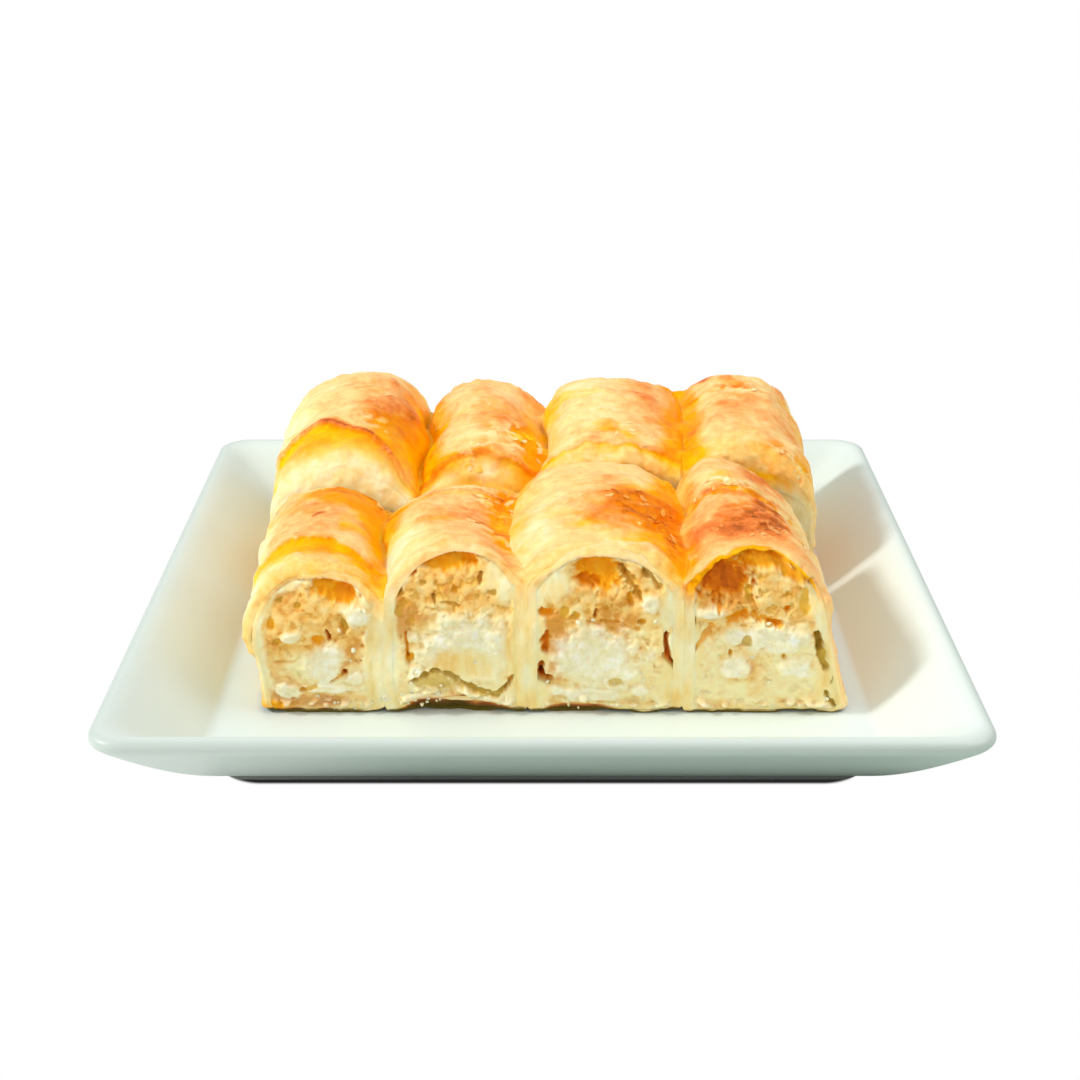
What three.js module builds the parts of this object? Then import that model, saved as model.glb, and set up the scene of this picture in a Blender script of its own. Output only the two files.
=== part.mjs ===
// A portion of rolled cheese borek on a square porcelain plate.
//
// Four rolls of layered filo were baked side by side in a tray and cut across, so the
// portion is two rows of four short rolls that still stand in the tray's order. Each roll
// is a wrapper of filo, open at both cuts, round a filling that runs right through it.
// Millimetres, +Z up. The origin is the middle of the plate's foot, on the table, and -Y
// is the front, where the cut ends of the first row face.
import * as THREE from "three";

// ---- driving dimensions -------------------------------------------------------------

// The plate: a flat square well, walls that flare at about 40 degrees and flatten into
// the rim, and a foot ring.
const PLATE_HALF = 101;
const PLATE_HEIGHT = 24;
const WELL_HALF = 79;
const WELL_Z = 9;
const UNDERSIDE_Z = 4;
const FOOT_OUTER_HALF = 75.5;
const FOOT_WIDTH = 4.5;
const FOOT_DROP = 3; // how far the foot ring stands out below the wall
const RIM_CORNER = 8;
const WELL_CORNER = 5;
const CORNER_STEPS = 5;
const SIDE_STEPS = 4;

// The rolls. Every triple holds a value at a row's front cut, halfway and at its back cut.
// Seams are the x of the lines between rolls. A crown is a roll's height and the rise is
// how much of it is rounded. The apex is the crest's place across the roll, 0 at its left
// side and 1 at its right, and fullLeft and fullRight are the powers of the superellipse
// that each side of the crown follows: 2 is round, more is squarer. The lean is how far
// the front and back cuts fall back at the crest, the overrun is how much wider a crown
// would be if its neighbour did not cut it off at the seam, and the splay is how far a
// row's outer walls step out at the foot. Each cut is the y of its left and right ends,
// because the one between the rows runs askew.
const ROWS = [
  {
    name: "front",
    cuts: [[-57, -57], [4, 12.5]],
    splay: [-2.5, 4.5],
    overrun: [1, 1.05, 1.1, 1.1, 1],
    seams: [
      [-72.5, -74, -73],
      [-38, -40, -41],
      [-3.5, -8.5, -6],
      [34, 36, 36],
      [69.5, 71.5, 72],
    ],
    rolls: [
      {
        crown: [36, 37, 36], rise: [17, 18, 18], lean: [6, 2],
        apex: [0.52, 0.55, 0.55], fullLeft: [2.4, 2.3, 2.2], fullRight: [2.4, 2.3, 2.2],
      },
      {
        crown: [41, 38.5, 35.5], rise: [18, 17, 16], lean: [8, 2],
        apex: [0.5, 0.5, 0.5], fullLeft: [2.2, 2.1, 2], fullRight: [2.2, 2.1, 2],
      },
      {
        crown: [41.5, 43, 41.5], rise: [19, 19, 18], lean: [5, 2],
        apex: [0.45, 0.5, 0.5], fullLeft: [2.3, 2.2, 2.1], fullRight: [2.3, 2.2, 2.1],
      },
      {
        crown: [40.5, 43, 42.5], rise: [20, 25, 28], lean: [5, 2],
        apex: [0.42, 0.32, 0.28], fullLeft: [2.4, 2.5, 2.6], fullRight: [2.4, 1.85, 1.6],
      },
    ],
  },
  {
    name: "back",
    cuts: [[7.2, 15.7], [79, 79]],
    splay: [1, 1],
    overrun: [1, 1.02, 1.02, 1.25, 1],
    seams: [
      [-74.5, -76, -74.5],
      [-35.5, -33, -33.5],
      [-1, 1.3, 1.8],
      [37.5, 39.5, 39],
      [75.5, 76.5, 76],
    ],
    rolls: [
      {
        crown: [41, 45.5, 44.3], rise: [19, 20, 20], lean: [6, 4],
        apex: [0.55, 0.56, 0.57], fullLeft: [2.1, 2, 2], fullRight: [2.1, 2, 2],
      },
      {
        crown: [39.5, 44, 43], rise: [18, 19, 19], lean: [6, 4],
        apex: [0.48, 0.48, 0.47], fullLeft: [2.1, 1.95, 1.9], fullRight: [2.1, 1.95, 1.9],
      },
      {
        crown: [43, 45.5, 44], rise: [18, 18, 18], lean: [3, 4],
        apex: [0.47, 0.47, 0.47], fullLeft: [2.3, 2.3, 2.3], fullRight: [2.3, 2.3, 2.3],
      },
      {
        crown: [43, 45.5, 44.3], rise: [22, 22, 21], lean: [3, 4],
        apex: [0.4, 0.4, 0.4], fullLeft: [2.1, 2.1, 2.1], fullRight: [2.1, 2.1, 2.1],
      },
    ],
  },
];

const CUT_END = 75; // how far either side of the middle a cut's two ends are
const GAP = 0.3; // clear space between neighbouring solids
const BASE_CORNER = 2; // radius of the edges that the rolls stand on
const WALL = { side: 2.6, crown: 2.3, base: 3 }; // thickness of the filo wrapper
const LUMP = 0.7; // height of the uneven swellings along the crown
const LUMP_WAVES = 2.5;
const LUMP_SHIFT = 2.1; // radians from one roll's swellings to the next
const CROWN_STEPS = 16; // faces over a crown
const SIDE_FACES = 2; // faces down each side of a roll
const CORNER_FACES = 2;
const BASE_FACES = 3;
const LENGTHS = 7; // faces along the outside of a roll
const HOLLOW_LENGTHS = 2; // faces along its inside
const LIP = 0.7; // how far the cut edge of the wrapper is rounded over

// The filling's cut ends: sunk below the crown, swollen out where the curds are.
const END_RINGS = [1, 0.6];
const HOLLOW_DEPTH = 3;
const CURD_SWELL = 1.2;

// ---- closed meshes from rings -------------------------------------------------------

// One closed mesh over rings of equally many points. With poles, a fan closes each end
// on the given point; without, the last ring joins the first, as round a tube's wall.
function skin(rings, poles) {
  const n = rings[0].length;
  const points = rings.flat();
  const faces = [];
  const last = poles ? rings.length - 1 : rings.length;
  for (let i = 0; i < last; i++) {
    const here = i * n;
    const next = ((i + 1) % rings.length) * n;
    for (let j = 0; j < n; j++) {
      const k = (j + 1) % n;
      faces.push(here + j, next + j, next + k, here + j, next + k, here + k);
    }
  }
  if (poles) {
    const end = (rings.length - 1) * n;
    points.push(...poles);
    for (let j = 0; j < n; j++) {
      const k = (j + 1) % n;
      faces.push(points.length - 2, j, k);
      faces.push(points.length - 1, end + k, end + j);
    }
  }
  const geometry = new THREE.BufferGeometry().setFromPoints(points);
  geometry.setIndex(facingOut(points, faces));
  geometry.computeVertexNormals();
  return geometry;
}

// The same faces, turned round if they enclose a negative volume.
function facingOut(points, faces) {
  let volume = 0;
  for (let i = 0; i < faces.length; i += 3) {
    const [a, b, c] = [points[faces[i]], points[faces[i + 1]], points[faces[i + 2]]];
    volume += a.dot(new THREE.Vector3().crossVectors(b, c));
  }
  return volume < 0 ? faces.reverse() : faces;
}

// ---- the plate ----------------------------------------------------------------------

// Half of the plate's cross-section, as half-width and height, from the edge of the well
// over the rim and down the outside to the inner edge of the foot.
function plateProfile() {
  const path = new THREE.Path();
  path.moveTo(WELL_HALF, WELL_Z);
  path.quadraticCurveTo(WELL_HALF + 3, WELL_Z + 1.6, WELL_HALF + 6, WELL_Z + 4.5);
  path.lineTo(PLATE_HALF - 9, PLATE_HEIGHT - 4.4);
  path.quadraticCurveTo(PLATE_HALF - 4.4, PLATE_HEIGHT - 0.3, PLATE_HALF - 2.4, PLATE_HEIGHT);
  path.quadraticCurveTo(PLATE_HALF, PLATE_HEIGHT, PLATE_HALF, PLATE_HEIGHT - 2);
  path.quadraticCurveTo(PLATE_HALF, PLATE_HEIGHT - 3, PLATE_HALF - 1.5, PLATE_HEIGHT - 4.5);
  path.quadraticCurveTo(FOOT_OUTER_HALF + 10, UNDERSIDE_Z + 1.5, FOOT_OUTER_HALF + 2, FOOT_DROP);
  path.lineTo(FOOT_OUTER_HALF, 0.8);
  path.lineTo(FOOT_OUTER_HALF - 0.6, 0);
  path.lineTo(FOOT_OUTER_HALF - FOOT_WIDTH, 0);
  path.lineTo(FOOT_OUTER_HALF - FOOT_WIDTH - 2, UNDERSIDE_Z);
  return path.getPoints(3);
}

// A square ring with rounded corners, lying level at height z.
function roundedSquare(half, corner, z) {
  const ring = [];
  for (let side = 0; side < 4; side++) {
    const turn = new THREE.Matrix4().makeRotationZ((side * Math.PI) / 2);
    for (let i = 0; i < SIDE_STEPS; i++) {
      const along = -(half - corner) + (2 * (half - corner) * i) / SIDE_STEPS;
      ring.push(new THREE.Vector3(half, along, z).applyMatrix4(turn));
    }
    for (let i = 0; i < CORNER_STEPS; i++) {
      const angle = (i / CORNER_STEPS) * (Math.PI / 2);
      const x = half - corner + corner * Math.cos(angle);
      const y = half - corner + corner * Math.sin(angle);
      ring.push(new THREE.Vector3(x, y, z).applyMatrix4(turn));
    }
  }
  return ring;
}

function plate() {
  const rings = plateProfile().map((p) => {
    const share = (p.x - WELL_HALF) / (PLATE_HALF - WELL_HALF);
    const corner = WELL_CORNER + (RIM_CORNER - WELL_CORNER) * THREE.MathUtils.clamp(share, 0, 1);
    return roundedSquare(p.x, corner, p.y);
  });
  return skin(rings, [new THREE.Vector3(0, 0, WELL_Z), new THREE.Vector3(0, 0, UNDERSIDE_Z)]);
}

// ---- the rolls ----------------------------------------------------------------------

// The smooth value through three numbers that stand at the start, middle and end.
function along([start, middle, end], t) {
  return start * (1 - t) * (1 - 2 * t) + 4 * middle * t * (1 - t) + end * t * (2 * t - 1);
}

// The starts of equal parts of a stretch, as shares of it.
function shares(count) {
  return Array.from({ length: count }, (_, i) => i / count);
}

// A roll's section inset from its outside, anticlockwise from the right spring of the
// crown: two quarter superellipses that meet at the crest and are cut off upright at the
// seams, then straight sides down to rounded corners and a flat base. Each point is
// [x, height above the well].
function outline(roll, t, inset) {
  const left = along(roll.left, t) + GAP / 2 + inset.side;
  const right = along(roll.right, t) - GAP / 2 - inset.side;
  const crest = left + along(roll.apex, t) * (right - left);
  const height = along(roll.crown, t);
  const rise = along(roll.rise, t);
  const spring = height - rise;
  const [footLeft, footRight] = [left - roll.splay[0], right + roll.splay[1]];
  const points = shares(CROWN_STEPS).map((share) => {
    const [c, s] = [Math.cos(share * Math.PI), Math.sin(share * Math.PI)];
    const power = along(c > 0 ? roll.fullRight : roll.fullLeft, t);
    const reach = (Math.abs(c) ** power + s ** power) ** (-1 / power);
    const half = c > 0 ? (right - crest) * roll.overrun[1] : (crest - left) * roll.overrun[0];
    const x = THREE.MathUtils.clamp(crest + half * reach * c, left, right);
    return [x, spring + (rise - inset.crown) * reach * s];
  });
  const low = inset.base + BASE_CORNER;
  for (const share of shares(SIDE_FACES)) {
    points.push([left + (footLeft - left) * share, spring + (low - spring) * share]);
  }
  for (const share of shares(CORNER_FACES)) {
    const turn = share * (Math.PI / 2);
    points.push([footLeft + BASE_CORNER * (1 - Math.cos(turn)), low - BASE_CORNER * Math.sin(turn)]);
  }
  const [from, to] = [footLeft + BASE_CORNER, footRight - BASE_CORNER];
  for (const share of shares(BASE_FACES)) {
    points.push([from + (to - from) * share, inset.base]);
  }
  for (const share of shares(CORNER_FACES)) {
    const turn = share * (Math.PI / 2);
    points.push([to + BASE_CORNER * Math.sin(turn), low - BASE_CORNER * Math.cos(turn)]);
  }
  for (const share of shares(SIDE_FACES)) {
    points.push([footRight + (right - footRight) * share, low + (spring - low) * share]);
  }
  return points;
}

// The y of a straight cut at a given x.
function cutAt([left, right], x) {
  return (left + right) / 2 + ((right - left) * x) / (2 * CUT_END);
}

// That outline carried along the roll. The cuts fall back towards the crest, and the
// crown swells and sinks a little along its length.
function section(roll, t, inset) {
  const rise = along(roll.rise, t);
  const spring = along(roll.crown, t) - rise;
  return outline(roll, t, inset).map(([x, z]) => {
    const up = Math.max(0, (z - spring) / rise);
    const swell = Math.sin(LUMP_WAVES * Math.PI * t + roll.phase) * Math.sin(Math.PI * t);
    const front = cutAt(roll.cuts[0], x) + roll.lean[0] * up ** 2;
    const back = cutAt(roll.cuts[1], x) - roll.lean[1] * up ** 2;
    return new THREE.Vector3(x, front + (back - front) * t, WELL_Z + GAP + z + LUMP * up * swell);
  });
}

function scaled(inset, share, more = 0) {
  return {
    side: inset.side * share + more,
    crown: inset.crown * share + more,
    base: inset.base * share + more,
  };
}

// The filo wrapper: out along the outside, back along the hollow.
function wrapper(roll) {
  const rings = [];
  const outside = scaled(WALL, 0);
  const lip = scaled(WALL, 0, LIP);
  const lipShare = LIP / (cutAt(roll.cuts[1], 0) - cutAt(roll.cuts[0], 0));
  rings.push(section(roll, 0, lip));
  for (let i = 0; i <= LENGTHS; i++) {
    rings.push(section(roll, lipShare + ((1 - 2 * lipShare) * i) / LENGTHS, outside));
  }
  rings.push(section(roll, 1, lip));
  for (let i = HOLLOW_LENGTHS; i >= 0; i--) {
    rings.push(section(roll, i / HOLLOW_LENGTHS, WALL));
  }
  return skin(rings);
}

// One cut end of the filling, from its rim inwards. The share is 1 at the rim, and the
// face sinks under the crown and swells out over the curds in the lower half.
function fillingEnd(roll, t, facing, inset) {
  const rim = section(roll, t, inset);
  const centre = rim.reduce((sum, p) => sum.add(p), new THREE.Vector3()).divideScalar(rim.length);
  const rings = END_RINGS.map((share) =>
    rim.map((p) => {
      const q = new THREE.Vector3().lerpVectors(centre, p, share);
      const up = (q.z - centre.z) / (rim[CROWN_STEPS / 2].z - centre.z);
      const relief = up > 0 ? -HOLLOW_DEPTH * up : -CURD_SWELL * up;
      q.y += facing * (1 - share ** 2) * relief - facing * GAP * share;
      return q;
    }),
  );
  return { rings, centre };
}

// The filling: curds and soaked filo, a core that fills the wrapper from cut to cut. Its
// rings run from back to front, as the hollow's do, so that both skins fold alike.
function filling(roll) {
  const inset = scaled(WALL, 1, GAP);
  const front = fillingEnd(roll, 0, -1, inset);
  const back = fillingEnd(roll, 1, 1, inset);
  const rings = [...back.rings].reverse();
  for (let i = HOLLOW_LENGTHS - 1; i > 0; i--) {
    rings.push(section(roll, i / HOLLOW_LENGTHS, inset));
  }
  return skin([...rings, ...front.rings], [back.centre, front.centre]);
}

// ---- materials and assembly ---------------------------------------------------------

const porcelain = new THREE.MeshStandardMaterial({ color: "#f2f4ea", roughness: 0.18, metalness: 0 });
const filo = new THREE.MeshStandardMaterial({ color: "#efb85c", roughness: 0.5, metalness: 0 });
const curds = new THREE.MeshStandardMaterial({ color: "#f1e2b4", roughness: 0.6, metalness: 0 });

function named(name, geometry, material) {
  const mesh = new THREE.Mesh(geometry, material);
  mesh.name = name;
  return mesh;
}

const portion = new THREE.Group();
portion.add(named("plate", plate(), porcelain));
for (const row of ROWS) {
  row.rolls.forEach((shape, i) => {
    const roll = {
      ...shape,
      cuts: row.cuts,
      left: row.seams[i],
      right: row.seams[i + 1],
      overrun: [row.overrun[i], row.overrun[i + 1]],
      splay: [i === 0 ? row.splay[0] : 0, i === row.rolls.length - 1 ? row.splay[1] : 0],
      phase: LUMP_SHIFT * (i + row.cuts[0][0]),
    };
    portion.add(named(`${row.name}_roll_${i + 1}_wrapper`, wrapper(roll), filo));
    portion.add(named(`${row.name}_roll_${i + 1}_filling`, filling(roll), curds));
  });
}

export default portion;
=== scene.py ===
import math

import bpy
import numpy as np
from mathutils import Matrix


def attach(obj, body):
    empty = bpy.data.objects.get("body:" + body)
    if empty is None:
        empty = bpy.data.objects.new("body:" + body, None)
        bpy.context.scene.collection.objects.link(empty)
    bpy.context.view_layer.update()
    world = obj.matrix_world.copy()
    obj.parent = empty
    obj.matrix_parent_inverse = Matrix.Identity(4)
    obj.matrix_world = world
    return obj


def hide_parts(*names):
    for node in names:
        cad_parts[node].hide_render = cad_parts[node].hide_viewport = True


# A portion of rolled cheese borek on a square porcelain plate: four rolls of layered filo,
# baked side by side and cut across into two rows. Lengths are in millimetres, and MM turns
# them to metres where a mesh is made. +Z is up and the cut ends of the first row face -Y.
MM = 0.001
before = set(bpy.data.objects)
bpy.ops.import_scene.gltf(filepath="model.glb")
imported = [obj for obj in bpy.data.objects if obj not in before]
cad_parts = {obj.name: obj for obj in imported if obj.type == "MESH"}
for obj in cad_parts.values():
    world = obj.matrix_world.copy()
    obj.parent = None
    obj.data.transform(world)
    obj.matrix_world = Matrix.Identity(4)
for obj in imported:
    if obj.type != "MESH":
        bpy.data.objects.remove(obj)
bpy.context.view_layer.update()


# ---- the view ---------------------------------------------------------------------------
# Someone sits at the table and looks down on the plate from the front, so that the cut ends,
# the crusts and the plate's rim all show.
EYE = (-0.5, -462.6, 220.7)
LOOK_DOWN = math.radians(22.36)
LENS = 62.47

camera = bpy.data.objects.new("camera", bpy.data.cameras.new("camera"))
camera.data.lens = LENS
camera.data.sensor_width = 36
camera.location = [v * MM for v in EYE]
camera.rotation_euler = (math.pi / 2 - LOOK_DOWN, 0, 0)
bpy.context.scene.collection.objects.link(camera)
bpy.context.scene.camera = camera


# ---- the light --------------------------------------------------------------------------
# A white room gives an even light. One window on the left throws the food's shadow across the
# right wall of the plate. A white wall in front on the left fills the cut ends, and a pale
# curtain high on the right fills the plate's left wall. Each is its power and its place in metres.
ROOM = 0.55
WINDOW_STRENGTH = 1.72
WINDOW_WIDTH = math.radians(10)
WINDOW_HEIGHT = math.radians(40)
WINDOW_TURN = math.radians(2)
WALL_WIDTH = 1.2
WALLS = {"white wall": (5.5, (-0.75, -1.3, 0.45)), "pale curtain": (8.5, (0.9, -0.1, 1.2))}

scene = bpy.context.scene
scene.view_settings.view_transform = "Standard"
scene.world = bpy.data.worlds.new("white room")
scene.world.use_nodes = True
scene.world.node_tree.nodes["Background"].inputs["Color"].default_value = (1, 1, 1, 1)
scene.world.node_tree.nodes["Background"].inputs["Strength"].default_value = ROOM

window = bpy.data.objects.new("window", bpy.data.lights.new("window", "SUN"))
window.data.energy = WINDOW_STRENGTH
window.data.angle = WINDOW_WIDTH
window.rotation_euler = (0, -(math.pi / 2 - WINDOW_HEIGHT), WINDOW_TURN)
scene.collection.objects.link(window)

for name, (power, place) in WALLS.items():
    wall_light = bpy.data.objects.new(name, bpy.data.lights.new(name, "AREA"))
    wall_light.data.energy = power
    wall_light.data.size = WALL_WIDTH
    wall_light.location = place
    down = math.atan2(place[2], math.hypot(*place[:2]))
    wall_light.rotation_euler = (math.pi / 2 - down, 0, math.atan2(place[0], -place[1]))
    scene.collection.objects.link(wall_light)


# ---- the table --------------------------------------------------------------------------
# A sheet of white paper that runs out past the view on every side. It is matt, and where it is looked at
# it glows a plain white, with a painted shadow line along the plate's foot. The light it throws back onto
# the plate is painted: painted light beside the window, painted shade far off and under the plate.
TABLE_HALF = 3000
WINDOW_PAINTED_LIGHT = (-30, -70)  # x from where to where the table's painted bounce light brightens towards the window
FAR_PAINTED_SHADE = (-140, -260)  # y from where to where its painted bounce tone darkens towards the room in front
PLATE_PAINTED_SHADE = (104, 80)  # how far from the middle the plate's painted shade on it begins and is full
FOOT_PAINTED_SHADOW = (76, 77.4)  # how far from the middle the painted shadow line along the plate's foot fades out
FOOT_SQUARE = 66  # distances from the middle are measured round a square of this half width


def hex_colour(code):
    """An sRGB hex value as linear: v / 12.92 up to 0.04045, then ((v + 0.055) / 1.055) ^ 2.4."""
    v = np.array([int(code[i : i + 2], 16) for i in (1, 3, 5)]) / 255
    return (*np.where(v <= 0.04045, v / 12.92, ((v + 0.055) / 1.055) ** 2.4), 1.0)


def add(tree, kind, inputs=None, stops=None, out=0, **settings):
    """Adds a node: its settings, its inputs, each an output to link or a value, and a ramp's stops.
    Gives its output."""
    node = tree.nodes.new("ShaderNode" + kind)
    for key, value in settings.items():
        setattr(node, key, value)
    for key, value in (inputs or {}).items():
        if isinstance(value, bpy.types.NodeSocket):
            tree.links.new(value, node.inputs[key])
        else:
            node.inputs[key].default_value = value
    for i, (place, code) in enumerate(stops or []):
        elements = node.color_ramp.elements
        stop = elements[i] if i < len(elements) else elements.new(place)
        stop.position = place
        stop.color = hex_colour(code)
    return node.outputs[out]


def new_material(name, **constants):
    """A material with a Principled shader, the given constants set on the shader's own sockets."""
    material = bpy.data.materials.new(name)
    material.use_nodes = True
    shader = material.node_tree.nodes["Principled BSDF"]
    for key, value in constants.items():
        shader.inputs[key.replace("_", " ")].default_value = value
    return material, material.node_tree, shader


def limits(ends):
    """The inputs that make a Map Range node run over two places in millimetres."""
    return {"From Min": ends[0] * MM, "From Max": ends[1] * MM}


def join(tree, shader, ends):
    """Links nodes' outputs to a shader's named sockets."""
    for name, end in ends.items():
        tree.links.new(end, shader.inputs[name])


def make_object(name, points, quads, triangles, marks, material):
    """One mesh object: points in millimetres, faces turned out, and marks as point attributes."""
    points = points.reshape(-1, 3)
    faces = np.concatenate([quads[:, [0, 1, 2]], quads[:, [0, 2, 3]], triangles])
    a, b, c = points[faces[:, 0]], points[faces[:, 1]], points[faces[:, 2]]
    if np.einsum("ij,ij->i", a, np.cross(b, c)).sum() < 0:
        quads, triangles = quads[:, ::-1], triangles[:, ::-1]
    mesh = bpy.data.meshes.new(name)
    mesh.vertices.add(len(points))
    mesh.vertices.foreach_set("co", (points * MM).astype(np.float32).ravel())
    corners = np.concatenate([quads.ravel(), triangles.ravel()]).astype(np.int32)
    mesh.loops.add(len(corners))
    mesh.loops.foreach_set("vertex_index", corners)
    mesh.polygons.add(len(quads) + len(triangles))
    starts = np.cumsum([0] + [4] * len(quads) + [3] * len(triangles))[:-1]
    mesh.polygons.foreach_set("loop_start", starts.astype(np.int32))
    mesh.polygons.foreach_set("use_smooth", np.ones(len(starts), bool))
    mesh.update(calc_edges=True)
    mesh.validate()
    for key, values in marks.items():
        mark = mesh.attributes.new(key, "FLOAT", "POINT")
        mark.data.foreach_set("value", values.astype(np.float32).ravel())
    mesh.materials.append(material)
    piece = bpy.data.objects.new(name, mesh)
    scene.collection.objects.link(piece)
    return piece


# Where it is looked at the paper glows a plain white, with a painted shadow line along the plate's foot.
# What lights the plate's outside is the table itself, with painted light and shade: bright beside the
# window on the left, dark far off and close to the foot.
paper, tree, shader = new_material("glowing white paper with painted shade", Roughness=0.9, Specular_IOR_Level=0.0)
where = add(tree, "TexCoord", out="Object")
x, y = (add(tree, "SeparateXYZ", {0: where}, out=axis) for axis in "XY")
painted_window_light = add(tree, "MapRange", {"Value": x, **limits(WINDOW_PAINTED_LIGHT)})
far = add(tree, "MapRange", {"Value": y, **limits(FAR_PAINTED_SHADE)})
mirrored = add(tree, "VectorMath", {0: where}, operation="ABSOLUTE")
inner_square = (FOOT_SQUARE * MM, FOOT_SQUARE * MM, 0)
past = add(tree, "VectorMath", {0: mirrored, 1: inner_square}, operation="SUBTRACT")
past = add(tree, "VectorMath", {0: past, 1: (0, 0, 0)}, operation="MAXIMUM")
past = add(tree, "VectorMath", {0: past}, operation="LENGTH", out="Value")
from_middle = add(tree, "Math", {0: past, 1: FOOT_SQUARE * MM}, operation="ADD")
painted_plate_shade = add(tree, "MapRange", {"Value": from_middle, **limits(PLATE_PAINTED_SHADE)})
painted_bounce_tone = hex_colour("#cfdbd3")
# The painted tones that the paper throws onto the plate: painted shade far off, the plate's painted shade
# under it, painted light by the window.
for share, code in ((far, "#3c4640"), (painted_plate_shade, "#1c221e"), (painted_window_light, "#ffffff")):
    painted_bounce_tone = add(tree, "Mix", {0: share, 6: painted_bounce_tone, 7: hex_colour(code)}, data_type="RGBA", out=2)
seen = add(tree, "LightPath", out="Is Camera Ray")
tone = add(tree, "Mix", {0: seen, 6: painted_bounce_tone, 7: hex_colour("#000000")}, data_type="RGBA", out=2)
# The paper's glow dims to a painted shadow line along the plate's foot.
painted_foot_shadow = add(
    tree, "MapRange", {"Value": from_middle, **limits(FOOT_PAINTED_SHADOW), "To Min": 0.02},
    interpolation_type="SMOOTHSTEP",
)
glow_and_painted_foot_shadow = add(tree, "Math", {0: seen, 1: painted_foot_shadow}, operation="MULTIPLY")
join(tree, shader, {"Base Color": tone, "Emission Strength": glow_and_painted_foot_shadow})
shader.inputs["Emission Color"].default_value = (1, 1, 1, 1)
corners = np.array([(x, y, 0) for x, y in ((-1, -1), (1, -1), (1, 1), (-1, 1))]) * float(TABLE_HALF)
no_triangles = np.zeros((0, 3), int)
table = make_object("table", corners, np.array([[0, 1, 2, 3]]), no_triangles, {}, paper)


# ---- the plate --------------------------------------------------------------------------
# White porcelain, pressed in a square mould and dipped in clear glaze: a flat well, walls
# that flatten into a rounded rim, and a foot ring whose underside is wiped bare of glaze.
WELL_HALF = 79
WELL_FLOOR = 9
RIM_HALF = 101
RIM_TOP = 24
FOOT_OUT = 75.5
FOOT_IN = 71
UNDERSIDE = 4
RIM_CORNER = 8
WELL_CORNER = 5
BEND_STEPS = 9
CORNER_STEPS = 12
SIDE_STEPS = 30
WELL_RINGS = 8


def bend(start, towards, end, steps=BEND_STEPS):
    """A quadratic curve that leaves and arrives along lines through towards, its end left out."""
    t = np.linspace(0, 1, steps, endpoint=False)[:, None]
    start, towards, end = map(np.array, (start, towards, end))
    return (1 - t) ** 2 * start + 2 * t * (1 - t) * towards + t**2 * end


def plate_profile():
    """Half-widths and heights from the well over wall, rim, outside and foot to the underside."""
    w, z, r, top = WELL_HALF, WELL_FLOOR, RIM_HALF, RIM_TOP
    well = np.linspace(0, w - 2.5, WELL_RINGS)[1:]
    parts = [np.stack([well, z + 0 * well], 1)]
    bends = (
        ((w + 0.3, z), (w + 1.2, z + 0.7)),
        ((w + 3.2, z + 2.1), (w + 6, z + 4.5)),
        ((w + 9.5, z + 7.6), (r - 9, top - 4.4)),
        ((r - 4.4, top - 0.3), (r - 2.4, top)),
        ((r, top), (r, top - 2)),
        ((r, top - 3), (r - 1.5, top - 4.5)),
        ((FOOT_OUT + 10, UNDERSIDE + 1.5), (FOOT_OUT + 2, 3), 2 * BEND_STEPS),
        ((FOOT_OUT + 0.2, 2.6), (FOOT_OUT, 1)),
        ((FOOT_OUT, 0), (FOOT_OUT - 1, 0), 5),
        ((FOOT_IN + 2, 0), (FOOT_IN + 1, 0), 4),
        ((FOOT_IN, 0), (FOOT_IN - 0.3, 1), 5),
        ((FOOT_IN - 0.8, UNDERSIDE), (FOOT_IN - 3, UNDERSIDE)),
    )
    end = (w - 1.5, z)
    for towards, new_end, *steps in bends:
        parts.append(bend(end, towards, new_end, *steps))
        end = new_end
    underside = np.linspace(FOOT_IN - 3, 0, WELL_RINGS)[:-1]
    return np.concatenate([*parts, np.stack([underside, UNDERSIDE + 0 * underside], 1)])


def rounded_square():
    """A unit square ring as a straight part and a corner part: a point is straight * (half -
    radius) + corner * radius."""
    along_side = np.linspace(-1, 1, SIDE_STEPS, endpoint=False)
    angle = np.linspace(0, np.pi / 2, CORNER_STEPS, endpoint=False)
    side = np.stack([np.ones(SIDE_STEPS), along_side], 1)
    straight = np.concatenate([side, np.ones((CORNER_STEPS, 2))])
    quarter_circle = np.stack([np.cos(angle), np.sin(angle)], 1)
    corner = np.concatenate([np.tile([1.0, 0.0], (SIDE_STEPS, 1)), quarter_circle])
    quarter = np.array([[0, 1], [-1, 0]])
    turns = [np.linalg.matrix_power(quarter, k) for k in range(4)]
    return np.concatenate([straight @ m for m in turns]), np.concatenate([corner @ m for m in turns])


def stitch(index):
    """Quads between the rings of a tube, or of many, from the numbers of their points."""
    here, there = index[..., :-1, :], index[..., 1:, :]
    return np.stack([here, there, np.roll(there, -1, -1), np.roll(here, -1, -1)], -1).reshape(-1, 4)


def fans(index, tips):
    """Triangles that close the first and the last ring of each tube with its two tips."""
    first, last = index[..., 0, :], index[..., -1, :]
    sides = (tips[0], first, np.roll(first, -1, -1)), (tips[1], np.roll(last, -1, -1), last)
    return np.concatenate([np.stack(np.broadcast_arrays(*s), -1).reshape(-1, 3) for s in sides])


def skin(name, rings, marks, material, poles=None):
    """Rings of points joined cell by cell into one closed surface. Poles close its ends with fans;
    without them the last ring joins the first."""
    index = np.arange(rings[..., 0].size).reshape(rings.shape[:2])
    if poles is None:
        closed = np.concatenate([index, index[:1]])
        return make_object(name, rings, stitch(closed), no_triangles, marks, material)
    points = np.concatenate([rings.reshape(-1, 3), np.array(poles, float)])
    ends = {key: np.append(v.ravel(), [v[0].mean(), v[-1].mean()]) for key, v in marks.items()}
    tips = index.size + np.arange(2)
    return make_object(name, points, stitch(index), fans(index, tips), ends, material)


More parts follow.
